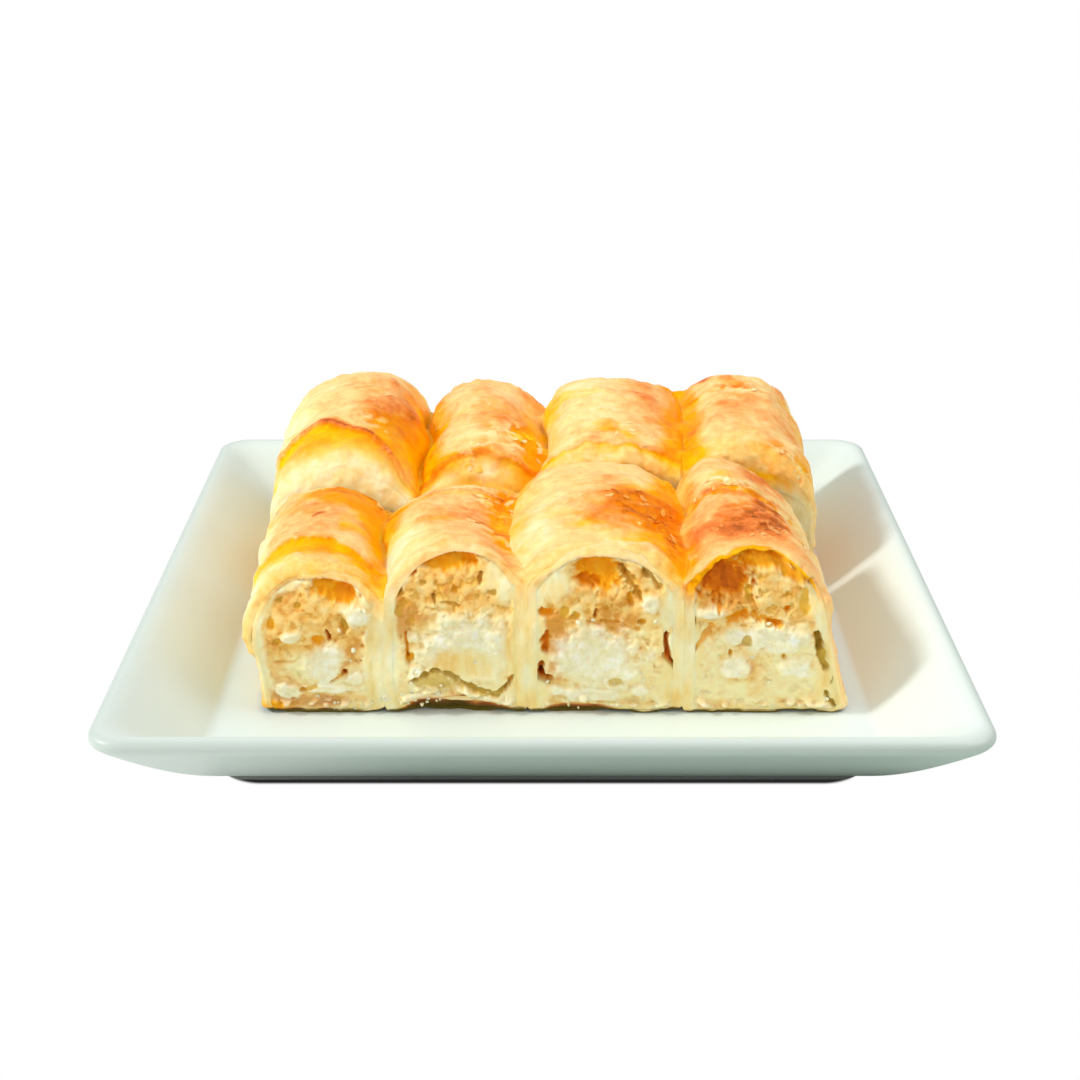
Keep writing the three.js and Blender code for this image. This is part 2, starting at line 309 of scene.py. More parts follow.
def ease(low, high, x):
    """0 below low, 1 above high, and 3s^2 - 2s^3 of the share s between them."""
    s = np.clip((x - low) / (high - low), 0, 1)
    return s * s * (3 - 2 * s)


def plate_rings():
    """The profile carried round the square, its corner radius growing from well to rim."""
    half, height = plate_profile().T
    share = np.clip((half - WELL_HALF) / (RIM_HALF - WELL_HALF), 0, 1)
    radius = np.minimum(WELL_CORNER + (RIM_CORNER - WELL_CORNER) * share, half * 0.9)
    straight, corner = rounded_square()
    flat = straight[None] * (half - radius)[:, None, None] + corner[None] * radius[:, None, None]
    return np.concatenate([flat, np.broadcast_to(height[:, None, None], flat.shape[:2] + (1,))], 2)


# Glazed porcelain is a cool white under a soft clear coat. The glaze runs a little, which shows as slow
# waves in its reflections. Outside it is painted a shade darker, as painted shade, and the bare foot is
# rough and painted dark grey, as the painted shade under the plate.
porcelain, tree, shader = new_material(
    "glazed porcelain", IOR=1.5, Coat_Weight=0.2, Coat_Roughness=0.28, Coat_IOR=1.5,
    Subsurface_Weight=0.12, Subsurface_Radius=(1.0, 0.9, 0.7), Subsurface_Scale=0.002,
)
GLAZE_WAVE = 14  # millimetres from one wave in the glaze to the next
GLAZE_CLOUD = 60  # millimetres across its faint clouds of thicker and thinner glaze
where = add(tree, "TexCoord", out="Object")
waves = add(tree, "TexNoise", {"Vector": where, "Scale": 1 / (GLAZE_WAVE * MM), "Detail": 1.0})
cloud = add(tree, "TexNoise", {"Vector": where, "Scale": 1 / (GLAZE_CLOUD * MM), "Detail": 2.0})
bare = add(tree, "Attribute", attribute_name="bare", out="Fac")
tone = add(tree, "ValToRGB", {"Fac": cloud}, [(0.3, "#dde9e3"), (0.7, "#e3eee8")])
outside = add(tree, "Attribute", attribute_name="outside", out="Fac")
# c0ccc3 paints the outside darker and #858d86 the bare foot dark grey: painted shade.
glazed = add(tree, "Mix", {0: outside, 6: tone, 7: hex_colour("#c0ccc3")}, data_type="RGBA", out=2)
body = add(tree, "Mix", {0: bare, 6: glazed, 7: hex_colour("#858d86")}, data_type="RGBA", out=2)
rough = add(tree, "MapRange", {"Value": bare, "To Min": 0.45, "To Max": 0.7})
bump = add(tree, "Bump", {"Height": waves, "Strength": 0.15, "Distance": 0.2 * MM})
join(tree, shader, {"Base Color": body, "Roughness": rough, "Normal": bump})

rings = plate_rings()
past_bends = np.arange(len(rings))[:, None] / BEND_STEPS
# outside and bare mark where the painted shade of the plate's outside and of its foot lies.
marks = {
    "bare": np.clip((3.4 - rings[..., 2]) / 1.5, 0, 1),
    "outside": np.broadcast_to(ease(4.3, 5.5, past_bends), rings.shape[:2]),
}
poles = [(0, 0, WELL_FLOOR), (0, 0, UNDERSIDE)]
plate = skin("square_plate", rings, marks, porcelain, poles)
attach(plate, "root")
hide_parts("plate")


# ---- the filo wrappers ------------------------------------------------------------------
# Each roll is wrapped in many paper-thin sheets of filo, brushed with butter and baked. The crust
# blisters, wrinkles round the roll and tears in arcs, neighbours bake together along their sides, and
# butter pools and darkens in the valleys between them; their deep orange there is also painted glow of
# light shining through and between the crusts.
# A row is its cuts, each by its y at two ends of the row, how far its open sides splay out at
# the foot, and its seams, each by its x at the front, middle and back, like all triples here.
# Overrun is how far past a seam a crown would run, had its neighbour not cut it off.
# A roll is its crown's height, the rise of its round part, how far the cuts lean back, where its
# crest is between its seams, how full its left and right shoulders are (2 is an ellipse), how far
# its front edge curls down, how thick that lip is, and how raggedly it is torn.
ROWS = {
    "front": {
        "cuts": ((-58.2, -58.2), (4, 12.5)), "splay": (-2.5, 4.5), "overrun": (1, 1.05, 1.1, 1.1, 1),
        "seams": ((-70.8, -73, -73), (-38, -40, -41), (-3.5, -8.5, -6), (34, 36, 36), (69.5, 71.5, 72)),
        "rolls": (
            {
                "crown": (36, 37, 36), "rise": (17, 18, 18), "lean": (7.2, 2), "apex": (0.52, 0.55, 0.55),
                "full": ((2.4, 2.3, 2.2), (2.4, 2.3, 2.2)), "curl": 3.4, "lip": 1,
            },
            {
                "crown": (41, 38.5, 35.5), "rise": (18, 17, 16), "lean": (9.2, 2),
                "apex": (0.5, 0.5, 0.5), "full": ((2.2, 2.1, 2), (2.2, 2.1, 2)), "curl": 2.6,
            },
            {
                "crown": (41.5, 43, 41.5), "rise": (19, 19, 18), "lean": (6.2, 2),
                "apex": (0.45, 0.5, 0.5), "full": ((2.3, 2.2, 2.1), (2.3, 2.2, 2.1)), "curl": 3.8,
            },
            {
                "crown": (40.5, 43, 42.5), "rise": (20, 25, 28), "lean": (6.2, 2),
                "apex": (0.42, 0.32, 0.28), "full": ((2.4, 2.5, 2.6), (2.4, 1.85, 1.6)), "torn": 1.6,
                "curl": 0.9, "lip": 0.5,
            },
        ),
    },
    "back": {
        "cuts": ((7.2, 15.7), (79, 79)), "splay": (1, 1), "overrun": (1, 1.02, 1.02, 1.15, 1),
        "seams": (
            (-74.5, -76, -74.5), (-35.5, -33, -33.5), (-1, 1.3, 1.8), (37.5, 39.5, 39), (75.5, 76.5, 76),
        ),
        "rolls": (
            {
                "crown": (41, 46.2, 45.5), "rise": (19, 20, 20), "lean": (6, 4),
                "apex": (0.55, 0.56, 0.57), "full": ((2.1, 2, 2), (2.1, 2, 2)), "curl": 12, "lip": 7,
            },
            {
                "crown": (39.5, 44, 43), "rise": (18, 19, 19), "lean": (6, 4), "apex": (0.48, 0.48, 0.47),
                "full": ((2.1, 1.95, 1.9), (2.1, 1.95, 1.9)), "curl": 12, "lip": 7,
            },
            {
                "crown": (43, 45.5, 44), "rise": (18, 18, 18), "lean": (3, 4), "apex": (0.47, 0.47, 0.47),
                "full": ((2.6, 2.9, 3), (2.3, 2.4, 2.5)), "curl": 10, "lip": 6,
            },
            {
                "crown": (43, 45.5, 44.3), "rise": (22, 22, 21), "lean": (3, 4), "apex": (0.4, 0.4, 0.4),
                "full": ((2.1, 2.1, 2.1), (2.1, 2.1, 2.1)), "curl": 10, "lip": 6,
            },
        ),
    },
}
CUT_END = 75  # how far either side of the middle a cut's two ends are
STAND = WELL_FLOOR + 0.3  # the height that the rolls stand at
TUCK = 0.45  # how far a cut's foot is tucked in, for each millimetre of the gap's height
SINK = 0.27  # how much further down soft food rests than where it stands
BASE_CORNER = 2
WALL_SIDE, WALL_CROWN, WALL_BASE = 2.6, 2.3, 3
FUSED = 0.1  # how far neighbours run into each other where they baked together
LIP_CROWN, LIP_BASE = 0.7, 0.7  # thickness of the filo at a cut, where its sheets have parted
LIP_LENGTH = 6
CUT_ROUND = 2.4  # radius that the crust turns over to its cut with, where it is not curled down
TURN_IN = 0.6  # how far in it turns there, as a share of that radius
# Where the dark gap under the front cuts yawns: x, half width and how much taller it is there.
FOOT_GAPS = ((-25.5, 7, 4), (-15.5, 6, 2.4), (-7, 4, 0.8), (9, 8, 1.8), (-56, 12, 0.4))
GAP_SOAK_AND_SHADE = 12  # how far back from a cut the gap at its foot is painted dark: butter soak and painted shade
# The crust's small forms by their sizes in x, y and z: most run round the roll, so y is least.
FOLD, CREASE, FINE_CREASE, BLISTER = (15, 5, 15), (12, 2.4, 12), (5, 1.1, 5), (6, 4.5, 6)
VALLEY_SOAK_AND_GLOW = 7.5  # how far up from a valley its butter soaks the crusts, and its painted orange glow
SHEET_EDGE = 12  # the height at which the last sheet ends on a side that meets no neighbour
FILLED = 0.96  # how far into the wrapper's wall its filling reaches, so that no gap shows
BUTTER_SHIELD = 0.26  # how much less a crust can be toasted where it is soaked in butter
VALLEY_FILL, VALLEY_ROUND = 2.2, 5  # how far baked dough fills the valleys, and to what radius


def bell(x):
    """A bell, exp(-x^2)."""
    return np.exp(-(x**2))


def along(three, t):
    """The smooth value through three numbers: at t = 0, in the middle and at t = 1."""
    start, middle, end = three
    return start * (1 - t) * (1 - 2 * t) + 4 * middle * t * (1 - t) + end * t * (2 * t - 1)


def roll_shape(row, i):
    """The driving values of one roll, its own two seams, and which of its sides meet air."""
    values = dict(ROWS[row]["rolls"][i], cuts=ROWS[row]["cuts"])
    values["seams"] = ROWS[row]["seams"][i : i + 2]
    values["overrun"] = ROWS[row]["overrun"][i : i + 2]
    values["open"] = (i == 0, i == 3)
    values["splay"] = [s if o else 0 for s, o in zip(ROWS[row]["splay"], values["open"])]
    values["length"] = values["cuts"][1][0] - values["cuts"][0][0]
    values["name"] = f"{row}_roll_{i + 1}"
    values["seed"] = 10 * i + (100 if row == "front" else 200)
    return values


def outline(roll, t, around, sides, crown, base):
    """A roll's cross-section, inset by sides, crown and base, as x and the height above the well.
    Around is 0 to 1 over the crown from its right spring, two quarter superellipses |x|^p + |z|^p =
    1 that are cut off at the seams; 1 to 2 down the left side, 2 to 3 along the base and 3 to 4 up
    the right side, with corners round 2 and 3 that are 0.4 long."""
    left = along(roll["seams"][0], t) + sides[0]
    right = along(roll["seams"][1], t) - sides[1]
    crest = left + along(roll["apex"], t) * (right - left)
    rise = along(roll["rise"], t)
    spring = along(roll["crown"], t) - rise
    turn = np.pi * np.clip(around, 0, 1)
    c, s = np.cos(turn), np.sin(turn)
    power = np.where(c > 0, along(roll["full"][1], t), along(roll["full"][0], t))
    reach = (np.abs(c) ** power + s**power) ** (-1 / power)
    overrun = roll["overrun"]
    half = np.where(c > 0, (right - crest) * overrun[1], (crest - left) * overrun[0])
    foot_left, foot_right = left - roll["splay"][0], right + roll["splay"][1]
    low = base + BASE_CORNER
    down, up = np.clip((around - 1) / 0.8, 0, 1), np.clip((around - 3.2) / 0.8, 0, 1)
    bottom = np.clip((around - 2.2) / 0.6, 0, 1)
    near, far = (np.clip((around - a) / 0.4, 0, 1) * np.pi / 2 for a in (1.8, 2.8))
    flat = foot_left + BASE_CORNER + bottom * (foot_right - foot_left - 2 * BASE_CORNER)
    pieces = [
        (around < 1, np.clip(crest + half * reach * c, left, right), spring + (rise - crown) * reach * s),
        (around < 1.8, left + (foot_left - left) * down, spring + (low - spring) * down),
        (around < 2.2, foot_left + BASE_CORNER * (1 - np.cos(near)), low - BASE_CORNER * np.sin(near)),
        (around < 2.8, flat, base + 0 * flat),
        (around < 3.2, foot_right - BASE_CORNER * (1 - np.sin(far)), low - BASE_CORNER * np.cos(far)),
    ]
    when = [np.broadcast_to(p[0], half.shape) for p in pieces]
    x = np.select(when, [p[1] + 0 * half for p in pieces], foot_right + (right - foot_right) * up)
    h = np.select(when, [p[2] + 0 * half for p in pieces], low + (spring - low) * up)
    return x, filled_valleys(roll, t, x, h, crown)


def seam_height(roll, side, t):
    """The height at which a crown's superellipse is cut off by its seam: the spring plus the rise
    times (1 - overrun^-p)^(1/p)."""
    power = along(roll["full"][side], t)
    rise = along(roll["rise"], t)
    return along(roll["crown"], t) - rise + rise * (1 - roll["overrun"][side] ** -power) ** (1 / power)


def filled_valleys(roll, t, x, h, inset):
    """The heights of a crown, inset so far, with its valleys filled. Between neighbours baked dough
    lies up to the middle of the two seam heights plus the fill, and rises from there by gap^2 / 2r
    until it ends a few millimetres up the crown. Above the seam the crown is the higher of itself
    and the dough, with the corner smoothed, and below it the wall is stretched to meet them."""
    rise = along(roll["rise"], t)
    spring = along(roll["crown"], t) - rise
    for side, beside in enumerate(roll["beside"]):
        if beside is None:
            continue
        seam = along(roll["seams"][side], t)
        own = spring + (seam_height(roll, side, t) - spring) * (1 - inset / rise)
        back_from_cut = np.stack([0 * t + roll["seams"][side][0], t * roll["length"], 0 * t], -1)
        meet = (seam_height(roll, side, t) + seam_height(beside, 1 - side, t)) / 2
        meet = meet + VALLEY_FILL - inset + 1.2 * noise(back_from_cut, 8, 3)
        gap = np.abs(seam - x)
        dough_top = meet + gap**2 / (2 * VALLEY_ROUND) - 14 * ease(2, 8, gap)
        soft = 1.5 * (1 - bell(gap)) * bell(gap / 5)
        crown = (h + dough_top + np.sqrt((h - dough_top) ** 2 + soft**2)) / 2
        near = gap < 12
        wall = (h - spring) * (np.maximum(meet, own) - spring) / np.maximum(own - spring, 0.1)
        wall = spring + wall
        h = np.where(near & (h >= own), crown, np.where(near & (h > spring), wall, h))
    return h


def cut_y(roll, end, t, x, h):
    """The y of a roll's front (end 0) or back (end 1) cut: straight in x, leaning back by the
    square of the height up the crown."""
    near, far = roll["cuts"][end]
    rise = along(roll["rise"], t)
    up = np.clip((h - along(roll["crown"], t) + rise) / rise, 0, 1)
    lean = roll["lean"][0] if end == 0 else -roll["lean"][1]
    return (near + far) / 2 + (far - near) * x / (2 * CUT_END) + lean * up**2


def scatter(ix, iy, iz, seed):
    """A fixed random number from 0 to 1 for each whole-numbered place: the numbers are multiplied
    by large odd ones, added, and their bits stirred."""
    n = ix * 668265263 + iy * 374761393 + iz * 2246822519 + seed * 3266489917
    n = (n & 0xFFFFFFFF).astype(np.uint32)
    n ^= n >> 15
    n *= np.uint32(2246822519)
    n ^= n >> 13
    n *= np.uint32(3266489917)
    n ^= n >> 16
    return n / 4294967296.0


def noise(p, size, seed):
    """Smooth lumps from -1 to 1, each about one size across: random values at the corners of cells,
    blended by 6f^5 - 15f^4 + 10f^3."""
    q = p / np.asarray(size, float)
    cell = np.floor(q)
    f = q - cell
    fade = f * f * f * (f * (6 * f - 15) + 10)
    i = cell.astype(np.int64)
    total = 0
    for corner in range(8):
        steps = (corner & 1, corner >> 1 & 1, corner >> 2)
        weight = 1
        for axis, step in enumerate(steps):
            weight = weight * (fade[..., axis] if step else 1 - fade[..., axis])
        total = total + weight * scatter(*(i[..., axis] + step for axis, step in enumerate(steps)), seed)
    return 2 * total - 1


def rough_noise(p, size, seed):
    """Noise with two finer ones on it, each with half the size and half the height of the last."""
    size = np.asarray(size, float)
    return sum(noise(p, size / 2**k, seed + 7 * k) / 2**k for k in range(3)) / (1 + 1 / 2 + 1 / 4)


def settle(p):
    """Baked food is never straight: every point drifts a little with its place, so that both sides
    of a seam drift alike, and the drift fades towards the plate."""
    loose = ease(-2, 12, p[..., 2] - STAND)
    drift = ((1.5, (30, 15, 22)), (1.0, (16, 30, 14)), (0.7, (17, 14, 30)))
    drift = [far * noise(p, size, 41 + axis) for axis, (far, size) in enumerate(drift)]
    return p + loose[..., None] * np.stack(drift, -1)


def foot_reach(p):
    """How high the gap under a cut's foot is: it wanders, and is taller where the gap yawns."""
    reach = 0.6 + 0.4 * rough_noise(p * [1, 0, 0], 3.5, 33)
    yawns = (high * np.exp(-(((p[..., 0] - x) / half) ** 4)) for x, half, high in FOOT_GAPS)
    return reach + sum(yawns)


def foot_gap(p):
    """How much of the gap under a cut's foot a point is in: exp(-(h / reach)^4)."""
    return np.exp(-(((p[..., 2] - STAND) / foot_reach(p)) ** 4))


def tuck(p):
    """How far a point is tucked in under the roll by the gap at its foot, in millimetres."""
    return TUCK * foot_reach(p) * foot_gap(p)


def lip_line(roll, p, up):
    """How far back a crust's front edge is ragged, in millimetres: lumps of 5 and 2 mm that fade
    down its walls."""
    flat = p * [1, 0, 1]
    ragged = noise(flat, 5, roll["seed"] + 17) + rough_noise(flat, 2.2, roll["seed"] + 18)
    return roll.get("torn", 0.5) * ragged * ease(0.25, 0.6, up)


def outward(rings):
    """Unit normals of a surface given as rings: the cross product of its two directions, turned to
    point away from the middle of each ring."""
    along_ring = np.roll(rings, -1, 1) - np.roll(rings, 1, 1)
    across = np.gradient(rings, axis=0)
    normal = np.cross(along_ring, across)
    normal /= np.maximum(np.linalg.norm(normal, axis=-1, keepdims=True), 1e-9)
    away = rings - rings.mean(1, keepdims=True)
    return normal * np.where((normal * away).sum((0, 1, 2)) < 0, -1, 1)


# What is special about each crust. Tears are arcs where an outer sheet has broken off in front: the y of
# its edge at the left, crest and right, how deep the step is, how far the bare sheet runs before it
# swells back, how buttery it is and how brown the broken edge. Patches are ovals on top: x, y, their half
# widths, then how much toast and butter. Pale ovals are bare dough, and in flaky ones the top sheet broke
# into scales. Lip is how toasted the front edge is, how buttery, and how buttery the crust's underside
# behind it, whose orange is also painted glow in the cave under it. Valleys are how much butter pooled
# along the left and the right seam, and with it the painted orange glow there.
CRUSTS = {
    "front_roll_1": {
        # The pale oval and the untoasted patches down this roll's left side paint that side paler:
        # painted light where the window lights it.
        "toast": 0.38, "lip": (0.34, 0.45, 0.2), "pale": ((-71, -50, 3, 10),),
        "tears": (((-36, -34.5, -43), 1.0, 9, 1.2, 0.1), ((-44, -48, -53), 0.35, 2.5, 0.1, 0)),
        "patches": (
            (-54, 2, 9, 9, 0.25, 0.1), (-61, -18, 7, 7, 0.12, 0), (-58, -20, 1.2, 1, 0.4, 0),
            (-52, -5, 9, 9, 0.1, 0.7), (-44, -8, 6, 16, -0.12, 0.9), (-56, 4, 8, 7, 0, 0.6),
            (-66, -48, 8, 8, -0.25, 0), (-73, -40, 3, 25, -0.35, 0), (-67, -53, 5, 6, -0.2, -0.5),
        ),
        "valleys": ((0, 0, 0), (0.15, 0.7, 0.9)),
    },
    "front_roll_2": {
        "flaky": ((-12, -6, 6, 9), (-10, -30, 4, 9)), "toast": 0.38, "lip": (0.3, 0.2, 0.1),
        "pale": ((-35, -42, 4, 12),),
        "tears": (((-40, -46, -44), 0.3, 3, 0.1, 0), ((-2, -1, 0), 0.6, 4, 0.5, 0.3)),
        "patches": (
            (-22, -22, 9, 8, 0.24, 0), (-12, -16, 4, 6, -0.15, 0.5), (-13.5, -7, 3, 3, 0.1, 0.7),
            (-10, 3, 3, 4, 0.1, 0.7), (-36, -38, 5, 14, -0.5, -0.4), (-18, -40, 9, 7, 0.1, 0),
            (-9, -30, 5, 12, 0.05, 0.6),
        ),
        "valleys": ((0.1, 0.5, 0.8), (0.15, 0.3, 0.7)),
    },
    "front_roll_3": {
        "flaky": ((31, -29, 8, 7), (32, -36, 5, 8)), "toast": 0.33, "lip": (0.24, 0.3, 0.1),
        "pale": ((-1, -34, 4, 12),),
        "tears": (((-46, -36, -38), 0.35, 2, 0.1, 0), ((-50, -46, -47), 0.3, 2, 0.15, 0)),
        "patches": (
            (25, -27, 12, 10, 0.52, 1.0), (26, -21, 7, 4, 0.2, 0.7), (0, -36, 8, 14, -0.05, 0),
            (16, -2, 9, 7, 0.1, 0), (30, -44, 4, 9, 0.1, 0.4),
        ),
        "valleys": ((0.1, 0.25, 0.6), (0.85, 1, 0.8)),
    },
    "front_roll_4": {
        "flaky": ((56, -33, 9, 12), (50, -13, 10, 7), (63, -20, 5, 12)), "toast": 0.42,
        "lip": (0.42, 0.05, 0.95),
        "tears": (((-10, -24, -22), 0.5, 2, 0.25, 0.2), ((-16, -17, -19), 0.4, 3, 0.5, 0.2)),
        "patches": (
            (50, -38, 9, 10, 0.34, 0), (57, -31, 4, 9, 0.25, 0), (52, -34, 14, 17, 0.1, 0),
            (53, -18.5, 5, 2.2, 0.1, 0.9), (61, 2, 6, 5, 0.4, 0), (45, -8, 8, 8, -0.06, 0),
            (38, -30, 3, 14, 0.08, -0.15),
        ),
        "valleys": ((0.8, 0.45, 0.5), (0, 0, 0)),
    },
    "back_roll_1": {
        "flaky": ((-48, 34, 10, 6),), "toast": 0.31, "lip": (0, 0.1, 0.1), "pale": ((-53, 12, 16, 6),),
        "tears": (((31, 29, 14), 1.2, 13, 1.2, 0.5),),
        "patches": ((-43, 48, 12, 18, 0.3, 0), (-40, 30, 7, 14, 0.06, 0.9), (-66, 52, 8, 16, -0.15, 0)),
        "valleys": ((0, 0, 0), (0.9, 0.9, 0.6)),
    },
    "back_roll_2": {
        "flaky": ((-8, 31, 8, 8), (-18, 18, 9, 5)), "toast": 0.36, "lip": (0.4, 0.9, 0.4),
        "pale": ((-15, 15.5, 6, 2.5), (-27, 13, 4, 2)),
        "tears": (((17, 19, 20), 1.0, 8, 1.4, 0.3), ((28, 26, 30), 0.4, 3, 0.1, 0.1)),
        "patches": (
            (-26, 15, 12, 6, 0.2, 0.8), (-20, 36, 8, 5, 0.15, 0.1), (-10, 44, 9, 10, 0.2, 0.3),
            (-5, 33, 4, 6, 0, 0.8), (-20, 28, 8, 6, -0.1, 0),
        ),
        "valleys": ((0.9, 0.7, 0.5), (0.6, 0.5, 0.4)),
    },
    "back_roll_3": {
        "toast": 0.29, "lip": (0.25, 0.35, 0.95),
        "tears": (((17, 19, 19), 0.6, 3, 0.8, 0.25), ((24, 27, 26), 0.3, 3, 0.1, 0)),
        "patches": (
            (31, 53, 8, 18, 0.4, 0.1), (16, 26, 7, 4, 0.15, 0.25), (15, 16.5, 9, 3, -0.25, -0.5),
            (9, 50, 9, 20, -0.1, 0),
        ),
        "valleys": ((0.3, 0.3, 0.3), (0.9, 1, 0.7)),
    },
    "back_roll_4": {
        "flaky": ((68, 20, 6, 8), (57, 57, 8, 10)), "toast": 0.36, "lip": (0.3, 0.3, 0.95),
        "tears": (((22, 25, 20), 0.4, 3, 0.2, 0.1), ((58, 60, 55), 0.4, 3, 0.2, 0.2)),
        "patches": (
            (49, 73, 3, 3, 0.6, 0), (58, 63, 6, 4, 0.2, 0.3), (56, 39, 12, 12, 0.2, 0),
            (56, 28, 10, 4, 0.02, 0.1), (61, 18, 5, 3, 0.1, 0.5), (74, 35, 4, 30, 0.25, 0.5),
        ),
        "valleys": ((0.9, 1, 0.7), (0, 0, 0)),
    },
}


def spread(*stretches):
    """Places along stretches, each (start, end, count), evenly spaced and without its end."""
    return np.concatenate([np.linspace(a, b, n, endpoint=False) for a, b, n in stretches])


def places_round(*counts):
    """Places round an outline: so many on crown, left side, corner, base, corner and right side."""
    ends = (0, 1, 1.8, 2.2, 2.8, 3.2, 4)
    return spread(*zip(ends, ends[1:], counts))[None, :]


def insets(roll, t, share):
    """How far a wrapper's surface lies inside the roll's outline at its sides, crown and base.
    Share is 0 outside and 1 in the hollow: outside the crust turns in at a cut, round a corner, and
    the hollow's walls thin there."""
    length = roll["length"]
    thin = bell(np.minimum(t, 1 - t) * length / LIP_LENGTH)
    turned = []
    for curl in (CUT_ROUND, np.where(t < 0.5, roll.get("curl", CUT_ROUND), CUT_ROUND)):
        depth = np.minimum(np.minimum(t, 1 - t) * length, curl)
        turned.append((curl - np.sqrt(curl**2 - (curl - depth) ** 2)) * TURN_IN)
    lip = np.where(t < 0.5, roll.get("lip", LIP_CROWN), LIP_CROWN)
    turned_side = [turned[0] * o for o in roll["open"]]
    sides = [(WALL_SIDE + FUSED - turn) * share + turn - FUSED for turn in turned_side]
    crown = turned[1] + (WALL_CROWN - (WALL_CROWN - lip) * thin) * share
    return sides, crown, (WALL_BASE - (WALL_BASE - LIP_BASE) * thin) * share


def patch(x, y, spot):
    """How much a point is inside an oval patch: exp(-d^2), where d is in half widths."""
    return np.exp(-(((x - spot[0]) / spot[2]) ** 2) - ((y - spot[1]) / spot[3]) ** 2)


def patches(x, y, spots):
    """How much a point is inside several patches, added up."""
    return sum((patch(x, y, spot) for spot in spots), 0 * x)


def dough(p):
    """The relief of cut filo: soft streaks that run up the walls, the same across a seam."""
    flat = p * [1, 0, 1]
    return 0.3 * rough_noise(flat, (5, 9, 9), 31) + 0.15 * rough_noise(flat, 2, 32)


def crust_marks(roll, p, t):
    """Where a crust is toasted, soaked in butter and bare dough, and the steps of its torn sheets
    in millimetres."""
    crust = CRUSTS[roll["name"]]
    x, y, h = p[..., 0], p[..., 1], p[..., 2] - STAND
    seed = roll["seed"]
    below = along(roll["crown"], t) - h
    left, right = (along(s, t) for s in roll["seams"])
    across = np.clip((x - left) / (right - left), 0, 1)
    toast = crust["toast"] + 0.2 * rough_noise(p, (9, 7, 9), seed + 1) - 0.03 * np.clip(below - 5, 0, 7)
    butter = 0.5 * ease(0, 0.8, rough_noise(p, (12, 9, 12), seed + 2))
    step = 0 * x
    dried = 1 - 0.8 * ease(9, 20, below)
    for edge, drop, run, soaked, browned in crust["tears"]:
        ragged = 0.9 * noise(p, 4, seed + 3) + 0.45 * noise(p, 1.3, seed + 4)
        ahead = along(edge, across) + ragged - y
        bare = ease(0, 0.5, ahead) * bell(np.maximum(ahead, 0) / run)
        step = step - drop * bare
        butter = butter + soaked * bare * dried
        toast = toast + browned * bell((ahead + 0.5) / 0.9) * dried
    wander = p + 2.5 * np.stack([noise(p, 5, seed + 5), noise(p, 5, seed + 6), 0 * x], -1)
    for spot in crust["patches"]:
        inside = patch(wander[..., 0], wander[..., 1], spot)
        toast = toast + spot[4] * inside
        butter = butter + spot[5] * inside
    flaky = patches(wander[..., 0], wander[..., 1], crust.get("flaky", ()))
    scale = ease(-0.05, 0.2, rough_noise(p * [1, 1, 0.6], (3.4, 2, 3.4), seed + 24))
    step = step + 0.5 * flaky * scale
    toast = toast - 0.22 * flaky * (scale - 0.4)
    butter = butter + 0.6 * flaky * (0.5 - scale)
    # Butter soaks the valleys deep orange: butter, and painted glow of light through and between the
    # crusts.
    for side, strength in enumerate(crust["valleys"]):
        gap = right - x if side else x - left
        soaked = along(strength, t) * bell(gap / VALLEY_SOAK_AND_GLOW) * ease(1, 6, below)
        butter = butter + soaked * (1 + 0.3 * noise(p, 4, seed + 7))
        toast = toast + 0.18 * soaked
    foot = bell(h / 2.2) * roll["open"][0]
    toast = toast + 0.5 * foot
    bare = np.clip(patches(x, y, crust.get("pale", ())), 0, 1)
    butter = np.clip(butter + 0.8 * foot, 0, 1)
    return np.minimum(toast, 1 - BUTTER_SHIELD * butter), butter, step, bare


def side_sheets(roll, p):
    """The relief of a side that meets no neighbour, and how much browner it is: long folds, and the
    edge of the last turn of filo that runs along it, which stands 0.6 mm proud of the sheet beneath
    and browned first."""
    seed = roll["seed"]
    length = p * [0, 1, 0]
    wander = SHEET_EDGE + 4 * noise(length, 24, seed + 40) + 1.2 * noise(length, 4, seed + 41)
    edge = wander - p[..., 2] + STAND
    folds = noise(p, (12, 18, 3.6), seed + 42)
    relief = 0.5 * folds + 0.25 * noise(p, (6, 7, 1.6), seed + 43) - 0.6 * ease(0, 0.5, edge)
    foot = bell((p[..., 2] - STAND) / 4)
    return relief, 0.08 + 0.12 * folds + 0.22 * bell((edge + 0.3) / 0.7) + 0.3 * foot


def crust_relief(roll, p):
    """How a crust stands out, in millimetres: slow swells, folds and creases that run round the
    roll, blisters where steam lifted the top sheet, and the finest wrinkles between them. Also how
    proud its small parts are."""
    seed = roll["seed"]
    warped = p.copy()
    warped[..., 1] += 2.6 * noise(p, 8, seed + 10) + 1.2 * noise(p, 3.5, seed + 9)
    fold = noise(warped, FOLD, seed + 11)
    crease = (1 - np.abs(noise(warped, CREASE, seed + 12))) ** 4
    fine = (1 - np.abs(noise(warped, FINE_CREASE, seed + 8))) ** 2
    busy = ease(-0.2, 0.6, rough_noise(p, 9, seed + 13))
    blister = ease(0.2, 0.8, noise(p, BLISTER, seed + 14))
    small = 0.35 * busy * crease + 0.15 * busy * fine + 0.22 * rough_noise(p, 2.4, seed + 16)
    large = 0.75 * rough_noise(p, 13, seed + 15) + 0.6 * fold + 0.7 * blister
    return large + small - 0.5, small + 0.25 * blister


def layer(roll, t, around, share):
    """A surface that lies a share of the wrapper's wall inside a roll: x, the height above the well
    and the settled points."""
    x, h = outline(roll, t, around, *insets(roll, t, share))
    front, back = (cut_y(roll, end, t, x, h) for end in (0, 1))
    return x, h, settle(np.stack([x, front + (back - front) * t, h + STAND], -1))


